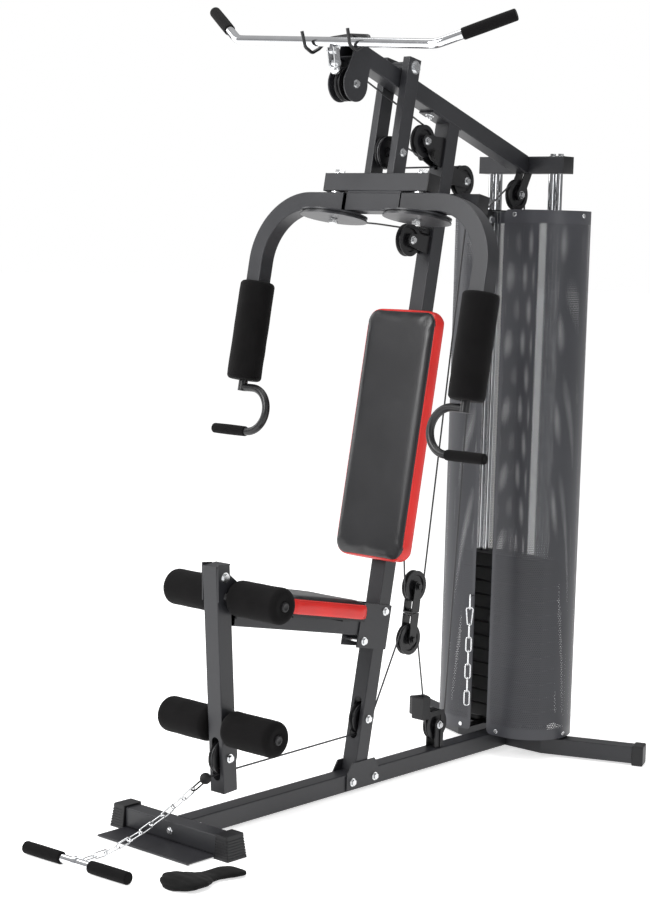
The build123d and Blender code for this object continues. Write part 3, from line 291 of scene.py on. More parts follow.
def foam_rubber(name, colour):
    """Closed cell foam: matt, with pores and faint shallow dents."""
    material, tree, shader = base_material(name, colour, 0.95, specular=0.14, sheen=0.03)
    place = coords(tree)
    pores = add(tree, "ShaderNodeTexVoronoi")
    pores.inputs["Scale"].default_value = 520.0
    tree.links.new(place, pores.inputs["Vector"])
    cloud = noise_node(tree, place, 14.0, 5.0)
    tree.links.new(ramp(tree, cloud, [(0.25, shade(colour, 0.7)), (0.8, shade(colour, 1.5))]),
                   shader.inputs["Base Color"])
    first = bump(tree, shader, cloud, 0.2, 0.004)
    bump(tree, shader, pores.outputs["Distance"], 0.35, 0.0007, first)
    return material


def plated(name, colour, rough, metallic=1.0, streak=0.25):
    """Bright metal with faint drawing lines, smudges and a clouded roughness."""
    material, tree, shader = base_material(name, colour, rough, metallic)
    place = coords(tree)
    cloud = noise_node(tree, place, 22.0, 4.0)
    fine = noise_node(tree, place, 700.0, 2.0)
    tree.links.new(ramp(tree, cloud, [(0.3, shade(colour, 0.9)), (0.75, colour)]),
                   shader.inputs["Base Color"])
    tree.links.new(spread(tree, cloud, max(0.02, rough - 0.04), rough + 0.08), shader.inputs["Roughness"])
    bump(tree, shader, fine, streak * 0.12, 0.0003)
    return material


def vinyl(name, colour, rough=0.42, grain=1.0):
    """Upholstery vinyl: small pebbled grain, soft gloss and slight tonal drift."""
    material, tree, shader = base_material(name, colour, rough, specular=0.45, coat=0.12, coat_rough=0.3)
    place = coords(tree)
    cells = add(tree, "ShaderNodeTexVoronoi", feature="SMOOTH_F1")
    cells.inputs["Scale"].default_value = 620.0
    tree.links.new(place, cells.inputs["Vector"])
    cloud = noise_node(tree, place, 9.0, 4.0)
    tree.links.new(ramp(tree, cloud, [(0.3, shade(colour, 0.88)), (0.75, shade(colour, 1.14))]),
                   shader.inputs["Base Color"])
    tree.links.new(spread(tree, cloud, rough - 0.06, rough + 0.08), shader.inputs["Roughness"])
    soft = bump(tree, shader, cloud, 0.10, 0.003)
    bump(tree, shader, cells.outputs["Distance"], 0.28 * grain, 0.0005, soft)
    return material


def cast(name, colour):
    """Painted cast iron: lumpy skin under a thin semi-gloss paint."""
    material, tree, shader = base_material(name, colour, 0.5, specular=0.45)
    place = coords(tree)
    lumps = noise_node(tree, place, 150.0, 4.0)
    cloud = noise_node(tree, place, 12.0, 3.0)
    tree.links.new(ramp(tree, cloud, [(0.3, shade(colour, 0.7)), (0.8, shade(colour, 1.4))]),
                   shader.inputs["Base Color"])
    tree.links.new(spread(tree, lumps, 0.38, 0.62), shader.inputs["Roughness"])
    bump(tree, shader, lumps, 0.3, 0.0012)
    return material


def sheath(name, colour, pitch):
    """Nylon-coated wire rope: the strands show faintly through the coat."""
    material, tree, shader = base_material(name, colour, 0.3, specular=0.5, coat=0.3, coat_rough=0.15)
    place = coords(tree)
    wave = add(tree, "ShaderNodeTexWave", bands_direction="DIAGONAL")
    wave.inputs["Scale"].default_value = pitch
    wave.inputs["Distortion"].default_value = 0.4
    tree.links.new(place, wave.inputs["Vector"])
    tree.links.new(ramp(tree, wave.outputs["Fac"], [(0.2, shade(colour, 0.7)), (0.8, shade(colour, 1.6))]),
                   shader.inputs["Base Color"])
    bump(tree, shader, wave.outputs["Fac"], 0.2, 0.0006)
    return material


HOLE_PITCH, HOLE_RADIUS = 0.0062, 0.0015
PLAIN_EDGE = 0.012          # the strip without holes along a cover's upright edges


def perforated(name, colour, side_centre, radius, y_mid, edge_x, z_span, solid):
    """Painted sheet with staggered round holes between plain borders.

    The holes are counted along the sheet's girth and along z, so both faces agree.
    """
    material, tree, shader = base_material(name, colour, 0.36, specular=0.5)
    links = tree.links
    source = add(tree, "ShaderNodeTexCoord")
    split = add(tree, "ShaderNodeSeparateXYZ")
    links.new(source.outputs["Object"], split.inputs["Vector"])

    def calc(operation, a, b=0.0, clamp=False):
        node = add(tree, "ShaderNodeMath", operation=operation, use_clamp=clamp)
        for index, value in enumerate((a, b)):
            if isinstance(value, (int, float)):
                node.inputs[index].default_value = value
            else:
                links.new(value, node.inputs[index])
        return node.outputs[0]

    x = calc("ABSOLUTE", split.outputs["X"])
    y = calc("SUBTRACT", split.outputs["Y"], y_mid)
    z = split.outputs["Z"]
    beyond = calc("MAXIMUM", calc("SUBTRACT", x, side_centre), 0.0)
    # the angle runs from 0 at the front to pi at the rear, and the flats add their own length
    angle = calc("ARCTAN2", beyond, calc("MULTIPLY", y, -1.0))
    flat = calc("MINIMUM", x, side_centre)
    rear = calc("GREATER_THAN", y, 0.0)
    forward = calc("SUBTRACT", 1.0, calc("MULTIPLY", rear, 2.0))
    girth = calc("ADD", calc("MULTIPLY", angle, radius), calc("MULTIPLY", flat, forward))
    pitch = HOLE_PITCH
    row_height = pitch * 0.866      # of an even triangle
    level = calc("DIVIDE", z, row_height)
    row = calc("FLOOR", level)
    shift = calc("MULTIPLY", calc("FLOORED_MODULO", row, 2.0), 0.5)
    column = calc("ADD", calc("DIVIDE", girth, pitch), shift)
    du = calc("MULTIPLY", calc("SUBTRACT", calc("FRACT", column), 0.5), pitch)
    dv = calc("MULTIPLY", calc("SUBTRACT", calc("FRACT", level), 0.5), row_height)
    away = calc("SQRT", calc("ADD", calc("MULTIPLY", du, du), calc("MULTIPLY", dv, dv)))
    hole = calc("LESS_THAN", away, HOLE_RADIUS)
    inside = calc("GREATER_THAN", x, edge_x + PLAIN_EDGE)
    inside = calc("MULTIPLY", inside, calc("GREATER_THAN", z, z_span[0] + solid[0]))
    inside = calc("MULTIPLY", inside, calc("LESS_THAN", z, z_span[1] - solid[1]))
    alpha = calc("SUBTRACT", 1.0, calc("MULTIPLY", hole, inside))
    links.new(alpha, shader.inputs["Alpha"])
    place = coords(tree)
    cloud = noise_node(tree, place, 5.0, 4.0)
    links.new(ramp(tree, cloud, [(0.3, shade(colour, 0.88)), (0.75, shade(colour, 1.12))]),
              shader.inputs["Base Color"])
    links.new(spread(tree, cloud, 0.3, 0.46), shader.inputs["Roughness"])
    peel = noise_node(tree, place, 420.0, 2.0)
    bump(tree, shader, peel, 0.1, 0.0005)
    return material


def webbing(name, colour):
    """Woven nylon over thin padding."""
    material, tree, shader = base_material(name, colour, 0.9, specular=0.15, sheen=0.05)
    place = coords(tree)
    weave = add(tree, "ShaderNodeTexWave", bands_direction="DIAGONAL")
    weave.inputs["Scale"].default_value = 260.0
    tree.links.new(place, weave.inputs["Vector"])
    cloud = noise_node(tree, place, 30.0, 4.0)
    tree.links.new(ramp(tree, cloud, [(0.3, shade(colour, 0.6)), (0.8, shade(colour, 1.7))]),
                   shader.inputs["Base Color"])
    soft = bump(tree, shader, cloud, 0.3, 0.002)
    bump(tree, shader, weave.outputs["Fac"], 0.4, 0.0006, soft)
    return material


CHARCOAL = (0.019, 0.0195, 0.0225)
PAINT = powder_coat("charcoal_paint", CHARCOAL, 0.38)
BLACK_STEEL = powder_coat("black_steel", (0.007, 0.007, 0.008), 0.34)
PLATE_BLACK = powder_coat("stamped_plate", (0.016, 0.016, 0.019), 0.45, 1.5)
PLASTIC = moulded("black_plastic", (0.008, 0.008, 0.009), 0.45)
NYLON = moulded("pulley_nylon", (0.006, 0.006, 0.007), 0.32, 900.0, 0.06)
RUBBER = moulded("black_rubber", (0.006, 0.006, 0.006), 0.7, 800.0, 0.25)
FOAM = foam_rubber("foam_rubber", (0.0035, 0.0032, 0.0034))
CHROME = plated("chrome", (0.80, 0.81, 0.83), 0.06)
ZINC = plated("zinc", (0.78, 0.79, 0.80), 0.2)
IRON = cast("stack_iron", (0.010, 0.010, 0.011))
SHEATH = sheath("cable_sheath", (0.022, 0.022, 0.024), 300.0)
VINYL = vinyl("black_vinyl", (0.009, 0.009, 0.0105), 0.33)
RED_VINYL = vinyl("red_vinyl", (0.60, 0.010, 0.006), 0.34)
NYLON_WEB = webbing("strap_nylon", (0.004, 0.004, 0.004))

low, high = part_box("cover_right")
COVER_RADIUS = (high.y - low.y) / 2
COVER = perforated("cover_sheet", (0.040, 0.041, 0.048), high.x - COVER_RADIUS, COVER_RADIUS,
                   (low.y + high.y) / 2, low.x, (low.z, high.z), (0.032, 0.038))

SLOT_MATERIAL = {
    "frame_paint": PAINT, "black_steel": BLACK_STEEL, "cover_sheet": COVER, "chrome": CHROME,
    "zinc_steel": ZINC, "tread_plate": PLATE_BLACK, "stack_iron": IRON, "black_plastic": PLASTIC,
    "pulley_plastic": NYLON, "black_rubber": RUBBER, "foam": FOAM, "upholstery": VINYL,
    "cable_sheath": SHEATH, "webbing": NYLON_WEB}
for part in frame["record"]["subparts"]:
    obj = NODES[part["node"]]
    obj.data.materials.clear()
    obj.data.materials.append(SLOT_MATERIAL[part["material_slot"]])


def smooth_node(obj, angle=32.0):
    """Smooth shading on the round faces of a CAD node, with its real edges kept sharp."""
    mesh = obj.data
    mesh.polygons.foreach_set("use_smooth", [True] * len(mesh.polygons))
    weld = obj.modifiers.new("weld", "WELD")
    weld.merge_threshold = 0.000002
    edge = obj.modifiers.new("edges", "EDGE_SPLIT")
    edge.split_angle = math.radians(angle)


for obj in NODES.values():
    if not obj.data.has_custom_normals:
        smooth_node(obj)


def paint_islands(node, rule):
    """Gives a CAD node's separate solids their own materials; rule maps an island's corners to one."""
    obj = NODES[node]
    place = {}
    for group in islands(node):
        material = rule(group)
        index = obj.data.materials.find(material.name)
        if index < 0:
            obj.data.materials.append(material)
            index = len(obj.data.materials) - 1
        for corner in group:
            place[tuple(round(c, 5) for c in corner)] = index
    for face in obj.data.polygons:
        key = tuple(round(c, 5) for c in obj.data.vertices[face.vertices[0]].co)
        face.material_index = place.get(key, 0)


def size_of(group):
    """The sides of the box round some corners."""
    spans = (span(group, axis) for axis in (X_AXIS, Y_AXIS, Z_AXIS))
    return Vector(high - low for low, high in spans)


# ---- foam rollers, grips and their plugs ----
def foam_profile(half, radius, corner, crown=0.0, dish=0.0):
    """Half-length, radius, corner radius and a slight crown; the ends dish inward."""
    rows = [(-half + dish, 0.004)]
    rows.append((-half + dish * 0.5, radius * 0.45))
    steps = 9
    for i in range(steps + 1):
        a = math.pi / 2 * i / steps
        rows.append((-half + corner * (1 - math.cos(a)), radius - corner + corner * math.sin(a)))
    for i in range(1, 16):
        s = -1 + 2 * i / 16
        rows.append((s * (half - corner), radius + crown * (1 - s * s)))
    for i in range(steps + 1):
        a = math.pi / 2 * (1 - i / steps)
        rows.append((half - corner * (1 - math.cos(a)), radius - corner + corner * math.sin(a)))
    rows.append((half - dish * 0.5, radius * 0.45))
    rows.append((half - dish, 0.004))
    return rows


def rollers(node, body):
    """Foam rollers on a cross rod, each with a plastic end plug."""
    for group in islands(node):
        centre = middle(group, X_AXIS)
        x_low, x_high = span(group, X_AXIS)
        out = 1 if centre.x > 0 else -1
        z_low, z_high = span(group, Z_AXIS)
        radius = (z_high - z_low) / 2
        cap_depth = 0.003
        inner = x_low if out > 0 else x_high
        outer = x_high - cap_depth if out > 0 else x_low + cap_depth
        middle_x = (inner + outer) / 2
        centre = Vector((middle_x, centre.y, centre.z))
        half = abs(outer - inner) / 2
        name = f"{node}_{'right' if out > 0 else 'left'}"
        profile = foam_profile(half, radius - 0.0008, corner=0.017, dish=0.004)
        foam = lathe(name, centre, X_AXIS, profile, FOAM, segments=72, wobble=0.0007)
        ride(foam, body)
        tip = Vector((outer, centre.y, centre.z))
        rows = [(-0.012, 0.010), (-0.004, 0.0125), (0.0012, 0.0125), (0.0026, 0.0112), (0.003, 0.0075),
                (0.0016, 0.0062), (0.0012, 0.002)]
        cap = lathe(f"{name}_plug", tip, X_AXIS * out, rows, PLASTIC, 36)
        ride(cap, body)
    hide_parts(node)


rollers("upper_rollers", BODY_OF["upper_rollers"])
rollers("lower_rollers", BODY_OF["lower_rollers"])


def arm_grips(side):
    """The long foam on a press arm and the foam grip on its handle."""
    node, body = f"{side}_grips", f"{side}_arm"
    groups = sorted(islands(node), key=lambda g: -size_of(g).length)
    long_foam, grip = groups[0], groups[1]
    centre = middle(long_foam, UP)
    low_s, high_s = span(long_foam, UP)
    half, radius = (high_s - low_s) / 2, (span(long_foam, X_AXIS)[1] - span(long_foam, X_AXIS)[0]) / 2
    profile = foam_profile(half, radius - 0.001, corner=0.012, crown=0.0005, dish=0.002)
    foam = lathe(f"{side}_arm_foam", centre, UP, profile, FOAM, segments=72, wobble=0.0009)
    ride(foam, body)
    centre = middle(grip, X_AXIS)
    low_x, high_x = span(grip, X_AXIS)
    half, radius = (high_x - low_x) / 2, (span(grip, UP)[1] - span(grip, UP)[0]) / 2
    profile = foam_profile(half, radius - 0.0003, corner=0.005, crown=0.0006)
    handle = lathe(f"{side}_hand_grip", centre, X_AXIS, profile, FOAM, segments=48, wobble=0.0004)
    ride(handle, body)
    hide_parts(node)


arm_grips("right")
arm_grips("left")


def bar_grips(node, body):
    """Foam sleeves with rounded caps on the ends of a bar."""
    first = None
    for index, group in enumerate(islands(node)):
        spread_x = sorted(group, key=lambda p: p.x)
        near = sum(spread_x[:12], Vector()) / 12
        far = sum(spread_x[-12:], Vector()) / 12
        along = (far - near).normalized()
        for _ in range(3):
            # the ends' middles give the sleeve's own axis
            low_a, high_a = span(group, along)
            ends = [[p for p in group if p.dot(along) < low_a + 0.004],
                    [p for p in group if p.dot(along) > high_a - 0.004]]
            mids = [middle(end, along) for end in ends]
            along = (mids[1] - mids[0]).normalized()
        low_a, high_a = span(group, along)
        centre = middle(group, along)
        half = (high_a - low_a) / 2
        side, _ = axes_of(along)
        radius = (span(group, side)[1] - span(group, side)[0]) / 2
        profile = foam_profile(half, radius - 0.0003, corner=0.004, crown=0.0003)
        grip = lathe(f"{node}_{index}", centre, along, profile, FOAM, segments=48, wobble=0.0004)
        ride(grip, body)
        first = first or grip
    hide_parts(node)


bar_grips("lat_grips", BODY_OF["lat_grips"])
bar_grips("row_grips", BODY_OF["row_grips"])


# ---- padded boards ----
def outline_loop(half_x, half_y, corner, steps=10):
    loop = []
    for cx, cy, start in ((1, 1, 0), (-1, 1, 90), (-1, -1, 180), (1, -1, 270)):
        for i in range(steps + 1):
            a = math.radians(start + 90 * i / steps)
            loop.append((cx * (half_x - corner) + corner * math.cos(a),
                         cy * (half_y - corner) + corner * math.sin(a)))
    return loop


def pad_blank(name, half_x, half_y, thick, corner, edge):
    """A board of foam in its own frame: face at +z, back at z = 0, with a rolled front edge."""
    rows = [(0.0, 0.0), (0.0, thick * 0.35), (0.0, thick - edge)]
    for i in range(1, 6):
        a = math.pi / 2 * i / 5
        rows.append((edge * (1 - math.cos(a)), thick - edge + edge * math.sin(a)))
    vertices, faces = [], []
    size = 0
    for inset, height in rows:
        loop = outline_loop(half_x - inset, half_y - inset, max(0.004, corner - inset))
        size = len(loop)
        vertices += [(x, y, height) for x, y in loop]
    for row in range(len(rows) - 1):
        for i in range(size):
            j = (i + 1) % size
            a = row * size
            faces.append((a + i, a + j, a + size + j, a + size + i))
    faces.append(tuple(range(size - 1, -1, -1)))
    top = (len(rows) - 1) * size
    faces.append(tuple(top + i for i in range(size)))
    return new_mesh(name, vertices, faces, [VINYL, RED_VINYL])


CLOTH_FRAMES = 20


def inflate(obj, voxel, pressure, cap, hold_below):
    """Swells the board as stuffed cloth, held along its back, then smooths the result."""
    remesh = obj.modifiers.new("remesh", "REMESH")
    remesh.mode = "VOXEL"
    remesh.voxel_size = voxel
    depsgraph = bpy.context.evaluated_depsgraph_get()
    mesh = bpy.data.meshes.new_from_object(obj.evaluated_get(depsgraph))
    obj.modifiers.clear()
    obj.data = mesh
    start = [v.co.copy() for v in mesh.vertices]
    group = obj.vertex_groups.new(name="held")
    for index, co in enumerate(start):
        weight = 1.0 if co.z < hold_below else 0.0
        group.add([index], weight, "REPLACE")
    cloth = obj.modifiers.new("cloth", "CLOTH")
    cloth.settings.quality = 5
    cloth.settings.mass = 0.4
    cloth.settings.use_pressure = True
    cloth.settings.uniform_pressure_force = pressure
    cloth.settings.vertex_group_mass = "held"
    cloth.settings.tension_stiffness = 25
    cloth.settings.compression_stiffness = 25
    cloth.settings.bending_stiffness = 2.0
    cloth.settings.effector_weights.gravity = 0.0
    cloth.point_cache.frame_start = 1
    cloth.point_cache.frame_end = CLOTH_FRAMES
    scene = bpy.context.scene
    for number in range(1, CLOTH_FRAMES + 1):
        scene.frame_set(number)
    depsgraph = bpy.context.evaluated_depsgraph_get()
    swollen = bpy.data.meshes.new_from_object(obj.evaluated_get(depsgraph))
    moved = [v.co.copy() for v in swollen.vertices]
    obj.modifiers.clear()
    for index, vertex in enumerate(obj.data.vertices):
        step = moved[index] - start[index]
        if step.length > cap:
            step *= cap / step.length
        vertex.co = start[index] + step
    bpy.data.meshes.remove(swollen)
    scene.frame_set(1)
    smooth = obj.modifiers.new("smooth", "SMOOTH")
    smooth.factor = 0.5
    smooth.iterations = 10
    subdivide = obj.modifiers.new("subdivide", "SUBSURF")
    subdivide.levels = subdivide.render_levels = 1
    depsgraph = bpy.context.evaluated_depsgraph_get()
    mesh = bpy.data.meshes.new_from_object(obj.evaluated_get(depsgraph))
    obj.modifiers.clear()
    obj.data = mesh
    mesh.polygons.foreach_set("use_smooth", [True] * len(mesh.polygons))


def upholstered(node, right, along, face, corner, band):
    """A pad over its CAD solid: black face, red side band, and a welt where they meet."""
    points = [p for group in islands(node) for p in group]
    spans = [span(points, axis) for axis in (right, along, face)]
    half_x, half_y = ((high - low) / 2 for low, high in spans[:2])
    thick = spans[2][1] - spans[2][0]
    origin = right * (sum(spans[0]) / 2) + along * (sum(spans[1]) / 2) + face * spans[2][0]
    obj = pad_blank(f"{node}_cover", half_x - 0.003, half_y - 0.003, thick - 0.004, corner, 0.012)
    inflate(obj, voxel=0.0055, pressure=2.5, cap=0.0035, hold_below=0.02)
    mesh = obj.data
    turn = Matrix((right, along, face)).transposed()
    mesh.materials.clear()
    mesh.materials.append(VINYL)
    mesh.materials.append(RED_VINYL)
    border = thick - band
    for polygon in mesh.polygons:
        polygon.material_index = 1 if polygon.center.z < border else 0
    # a shallow seam groove where the face and the side band meet
    groove_reach, groove_depth = 0.004, 0.0012
    for vertex in mesh.vertices:
        gap = abs(vertex.co.z - border)
        if gap < groove_reach:
            flat = Vector((vertex.co.x, vertex.co.y, 0))
            vertex.co -= flat.normalized() * groove_depth * (1 - gap / groove_reach)
    ring = [v.co for v in mesh.vertices if abs(v.co.z - border) < 0.0035]
    welt = welt_curve(f"{node}_welt", ring, border, turn, origin)
    for vertex in mesh.vertices:
        vertex.co = turn @ vertex.co + origin
    ride(obj, BODY_OF[node])
    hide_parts(node)
    ride(welt, BODY_OF[node])


def welt_curve(name, ring, height, turn, origin):
    """A thin piped seam through the ring of seam points, sorted by angle."""
    count = 160                 # even sectors round the pad, one point of the seam in each
    bins = {}
    for co in ring:
        angle = math.atan2(co.y, co.x)
        bins.setdefault(int((angle + math.pi) / (2 * math.pi) * count) % count, []).append(co)
    curve = bpy.data.curves.new(name, "CURVE")
    curve.dimensions = "3D"
    curve.bevel_depth = 0.0014
    curve.bevel_resolution = 3
    points = []
    for key in sorted(bins):
        group = bins[key]
        points.append(sum(group, Vector()) / len(group))
    spline = curve.splines.new("NURBS")
    spline.points.add(len(points) - 1)
    for point, co in zip(spline.points, points):
        out = Vector((co.x, co.y, 0)).normalized() * 0.0004
        point.co = (*(turn @ Vector((co.x + out.x, co.y + out.y, height)) + origin), 1)
    spline.order_u = 3
    spline.use_cyclic_u = True
    curve.materials.append(RED_VINYL)
    obj = bpy.data.objects.new(name, curve)
    bpy.context.scene.collection.objects.link(obj)
    return obj


upholstered("back_pad", X_AXIS, UP, -REAR, 0.040, 0.0125)
upholstered("seat_pad", X_AXIS, REAR, UP, 0.038, 0.0115)


# ---- ankle strap ----
def strap():
    """The folded strap: a soft pouch that narrows to a tail, pulled in along its stitching."""
    low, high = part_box("ankle_strap")
    length, width = high.y - low.y, high.x - low.x
    rows, across = 40, 20
    # shares of the box at even steps from the toe to the tail: half width, thickness and centre
    widths = (0.16, 0.44, 0.52, 0.50, 0.40, 0.29, 0.25, 0.27, 0.30, 0.29, 0.12)
    heights = (0.40, 0.86, 0.98, 0.93, 0.80, 0.64, 0.58, 0.62, 0.68, 0.64, 0.34)
    centres = (0.48, 0.50, 0.51, 0.52, 0.53, 0.54, 0.56, 0.60, 0.65, 0.69, 0.72)

    def share(table, s):
        place = min(s * (len(table) - 1), len(table) - 1.001)
        i, part = int(place), place - int(place)
        part = part * part * (3 - 2 * part)
        return table[i] * (1 - part) + table[i + 1] * part

    vertices, faces = [], []
    for i in range(rows + 1):
        s = i / rows
        half = share(widths, s) * width
        middle_x = low.x + width * share(centres, s)
        middle_x = min(high.x - half - 0.001, max(low.x + half + 0.001, middle_x))
        for j in range(across):
            a = 2 * math.pi * j / across
            x = middle_x + half * math.cos(a)
            y = low.y + length * (0.01 + 0.98 * s)
            lift = 0.5 + 0.5 * math.copysign(abs(math.sin(a)) ** 0.7, math.sin(a))
            thick = (high.z - low.z) * share(heights, s)
            dent = 0.0012 * noise.noise(Vector((x, y, 0)) * 45)
            vertices.append((x, y, low.z + 0.0008 + thick * lift + (dent if lift > 0.4 else 0)))
    for i in range(rows):
        for j in range(across):
            k = (j + 1) % across
            faces.append((i * across + j, i * across + k, (i + 1) * across + k, (i + 1) * across + j))
    faces.append(tuple(range(across - 1, -1, -1)))
    faces.append(tuple(rows * across + j for j in range(across)))
    obj = new_mesh("ankle_strap_pouch", vertices, faces, [NYLON_WEB])
    fix_normals(obj)
    subdivide = obj.modifiers.new("subdivide", "SUBSURF")
    subdivide.levels = subdivide.render_levels = 2
    ride(obj, "ankle_strap")
    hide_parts("ankle_strap")


strap()


# ---- tube end plugs ----
def plug(name, centre, out, across, size, body, thick=0.0035):
    """A domed plastic plug over a tube's open end."""
    up = out.cross(across).normalized()
    block = bevelled_block(name, centre + out * (thick / 2 - 0.0005), (across, up, out),
                           (size[0], size[1], thick + 0.001), 0.0012, PLASTIC)
    ride(block, body)


def node_end(node, axis, side, depth=0.004):
    """The corners of a node near one end of an axis."""
    points = [v.co.copy() for v in NODES[node].data.vertices]
    low, high = span(points, axis)
    if side > 0:
        return [p for p in points if p.dot(axis) > high - depth]
    return [p for p in points if p.dot(axis) < low + depth]


def end_plug(name, node, axis, side, across, body):
    """A plug over the open end of a node's tube, sized from the end itself."""
    points = node_end(node, axis, side)
    up = axis.cross(across).normalized()
    size = [high - low for low, high in (span(points, across), span(points, up))]
    centre = middle(points, axis)
    reach = span(points, axis)[1] if side > 0 else span(points, axis)[0]
    plug(name, centre + axis * (reach - centre.dot(axis)), axis * side, across, size, body)


for side, word in ((1, "right"), (-1, "left")):
    end_plug(f"crossmember_plug_{word}", "upper_beam", X_AXIS, side, Y_AXIS, "frame")
    end_plug(f"press_plug_{word}", "press_frame", X_AXIS, side, REAR, "press_frame")
    end_plug(f"crossbar_plug_{word}", "upright_column", X_AXIS, side, REAR, "frame")


def stop_knobs():
    """A domed black knob on each lever plate, just under the lever's pivot."""
    pivot = Vector(JOINTS["leg_lever_swing"]["pos_m"])
    for side, word in ((1, "right"), (-1, "left")):
        at = Vector((side * 0.0294, pivot.y + 0.006, pivot.z - 0.050))
        rows = [(-0.001, 0.010), (0.002, 0.0105), (0.0045, 0.0098), (0.006, 0.0072), (0.0064, 0.0062),
                (0.0095, 0.0058), (0.0112, 0.0042), (0.0118, 0.0015)]
        ride(lathe(f"stop_knob_{word}", at, X_AXIS * side, rows, PLASTIC, 32), "frame")


stop_knobs()


# ---- bolt heads that the camera side shows ----
def hex_head(name, at, out, body):
    """A bright washer with a chamfered hexagon head on it."""
    rows = [(-0.001, 0.0092), (0.0011, 0.0092), (0.0016, 0.0086), (0.0016, 0.002)]
    ride(lathe(f"{name}_washer", at, out, rows, ZINC, 32), body)
    rows = [(0.001, 0.0070), (0.0054, 0.0070), (0.0063, 0.0060), (0.0063, 0.001)]
    head = lathe(f"{name}_head", at, out, rows, ZINC, 6)
    head.data.polygons.foreach_set("use_smooth", [False] * len(head.data.polygons))
    ride(head, body)


low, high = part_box("front_stabilizer")
hex_head("front_bolt", Vector((0, low.y, (low.z + high.z) / 2)), -Y_AXIS, "frame")
seat_corners = islands("seat_pad")[0]
seat_reach = span(seat_corners, REAR)
for index, share_along in enumerate((0.25, 0.78)):
    spot = REAR * (seat_reach[0] + share_along * (seat_reach[1] - seat_reach[0]))
    spot += UP * span(seat_corners, UP)[0] + X_AXIS * 0.105
    hex_head(f"seat_screw_{index}", spot, -UP, "frame")


# ---- island colours ----
paint_islands("pulley_brackets", lambda g: PLASTIC if size_of(g).x > 0.03 else BLACK_STEEL)
paint_islands("pad_brackets", lambda g: PLASTIC if size_of(g).length > 0.35 else BLACK_STEEL)
paint_islands("butterfly_cables", lambda g: PLASTIC if size_of(g).x < 0.06 else SHEATH)
paint_islands("rubber_bumpers", lambda g: RUBBER)
paint_islands("row_chain", lambda g: RUBBER if size_of(g).x > 0.027 else ZINC)
paint_islands("leg_lever", lambda g: ZINC if size_of(g).z < 0.1 else PAINT)


# ---- stage, light and camera ----
def floor():
    low, high = CAD_BOX
    bm = bmesh.new()
    bmesh.ops.create_grid(bm, x_segments=2, y_segments=2, size=50.0)
    mesh = bpy.data.meshes.new("floor")
    bm.to_mesh(mesh)
    bm.free()
    obj = bpy.data.objects.new("floor", mesh)
    obj.location.z = low.z - 0.0006
    bpy.context.scene.collection.objects.link(obj)
    material, tree, shader = base_material("floor_paper", (0.93, 0.93, 0.93), rough=0.8, specular=0.1)
    shader.inputs["Emission Color"].default_value = (1, 1, 1, 1)
    shader.inputs["Emission Strength"].default_value = 0.62
    place = coords(tree)
    cloud = noise_node(tree, place, 2.0, 3.0)
    tree.links.new(ramp(tree, cloud, [(0.2, (0.925, 0.925, 0.925)), (0.8, (0.935, 0.935, 0.935))]),
                   shader.inputs["Base Color"])
    mesh.materials.append(material)


def area_light(name, at, aim, size, power, colour=(1, 1, 1)):
    light = bpy.data.lights.new(name, "AREA")
    light.shape = "RECTANGLE"
    light.size, light.size_y = size
    light.energy = power
    light.color = colour
    obj = bpy.data.objects.new(name, light)
    obj.location = at
    obj.rotation_euler = (Vector(aim) - Vector(at)).to_track_quat("-Z", "Y").to_euler()
    bpy.context.scene.collection.objects.link(obj)


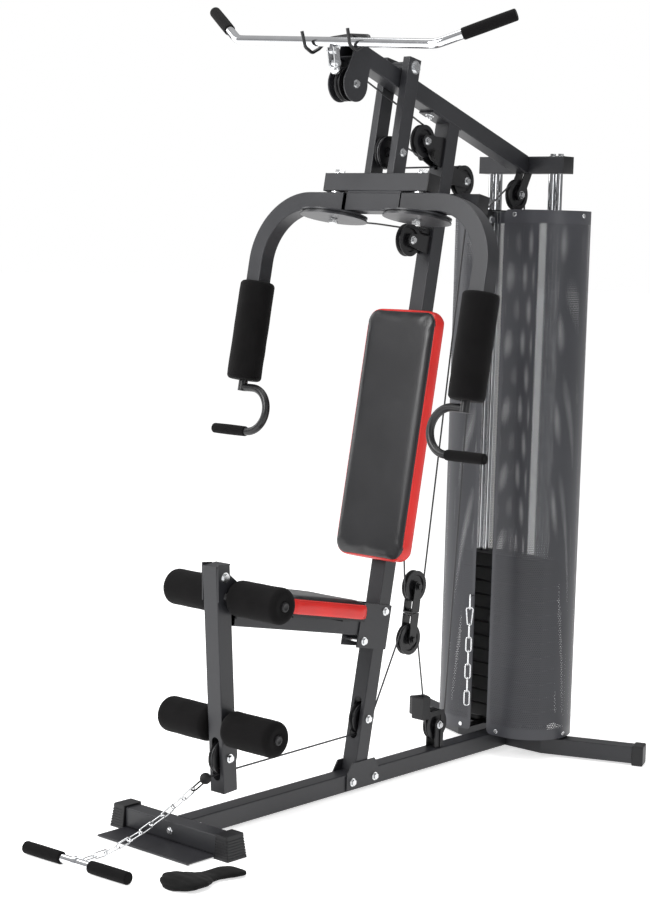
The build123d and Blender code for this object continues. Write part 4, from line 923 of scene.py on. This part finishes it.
def camera():
    """The photograph's viewing angle: azimuth, pitch and roll in degrees."""
    azimuth, pitch, roll = math.radians(41.28), math.radians(6.425), math.radians(1.527)
    level = math.cos(pitch)
    back = Vector((math.sin(azimuth) * level, -math.cos(azimuth) * level, math.sin(pitch)))
    right = (-back).cross(Z_AXIS).normalized()
    up = right.cross(-back)
    turned = right * math.cos(roll) + up * math.sin(roll)
    upright = -right * math.sin(roll) + up * math.cos(roll)
    data = bpy.data.cameras.new("camera")
    data.sensor_width = data.sensor_height = 36.0
    data.sensor_fit = "VERTICAL"
    data.lens = 76.776
    data.clip_end = 120.0
    obj = bpy.data.objects.new("camera", data)
    obj.matrix_world = Matrix((turned, upright, back)).transposed().to_4x4()
    obj.matrix_world.translation = Vector((3.42685, -3.96316, 1.52565))
    bpy.context.scene.collection.objects.link(obj)
    bpy.context.scene.camera = obj

def studio_world():
    """White behind the object; a dimmer room, with bright and dark bands, for light and reflections."""
    world = bpy.data.worlds.new("studio")
    world.use_nodes = True
    tree = world.node_tree
    shown = tree.nodes["Background"]
    shown.inputs["Color"].default_value = (1, 1, 1, 1)
    shown.inputs["Strength"].default_value = 1.0
    room = add(tree, "ShaderNodeBackground")
    room.inputs["Strength"].default_value = 0.5
    sky = add(tree, "ShaderNodeTexCoord")
    height = add(tree, "ShaderNodeSeparateXYZ")
    tree.links.new(sky.outputs["Generated"], height.inputs["Vector"])
    bands = [(0.3, (0.9, 0.9, 0.9)), (0.5, (0.35, 0.35, 0.36)), (0.62, (0.75, 0.75, 0.76)), (0.9, (1, 1, 1))]
    tint = ramp(tree, spread(tree, height.outputs["Z"], 0.5, 1.0), bands)
    tree.links.new(tint, room.inputs["Color"])
    path = add(tree, "ShaderNodeLightPath")
    blend = add(tree, "ShaderNodeMixShader")
    tree.links.new(path.outputs["Is Camera Ray"], blend.inputs[0])
    tree.links.new(room.outputs[0], blend.inputs[1])
    tree.links.new(shown.outputs[0], blend.inputs[2])
    tree.links.new(blend.outputs[0], tree.nodes["World Output"].inputs["Surface"])
    bpy.context.scene.world = world


floor()
camera()
area_light("key", (-1.2, -4.2, 3.4), (0, 0, 1.0), (2.2, 2.6), 190)
area_light("left_fill", (-3.8, -0.8, 2.4), (0, 0.1, 1.0), (2.0, 3.0), 55)
area_light("right_fill", (4.2, -1.0, 2.2), (0, 0.2, 1.0), (1.0, 3.2), 26)
area_light("top", (0.2, 0.3, 4.4), (0, 0.1, 0), (3.0, 3.0), 70)
studio_world()
bpy.context.scene.view_settings.view_transform = "Standard"
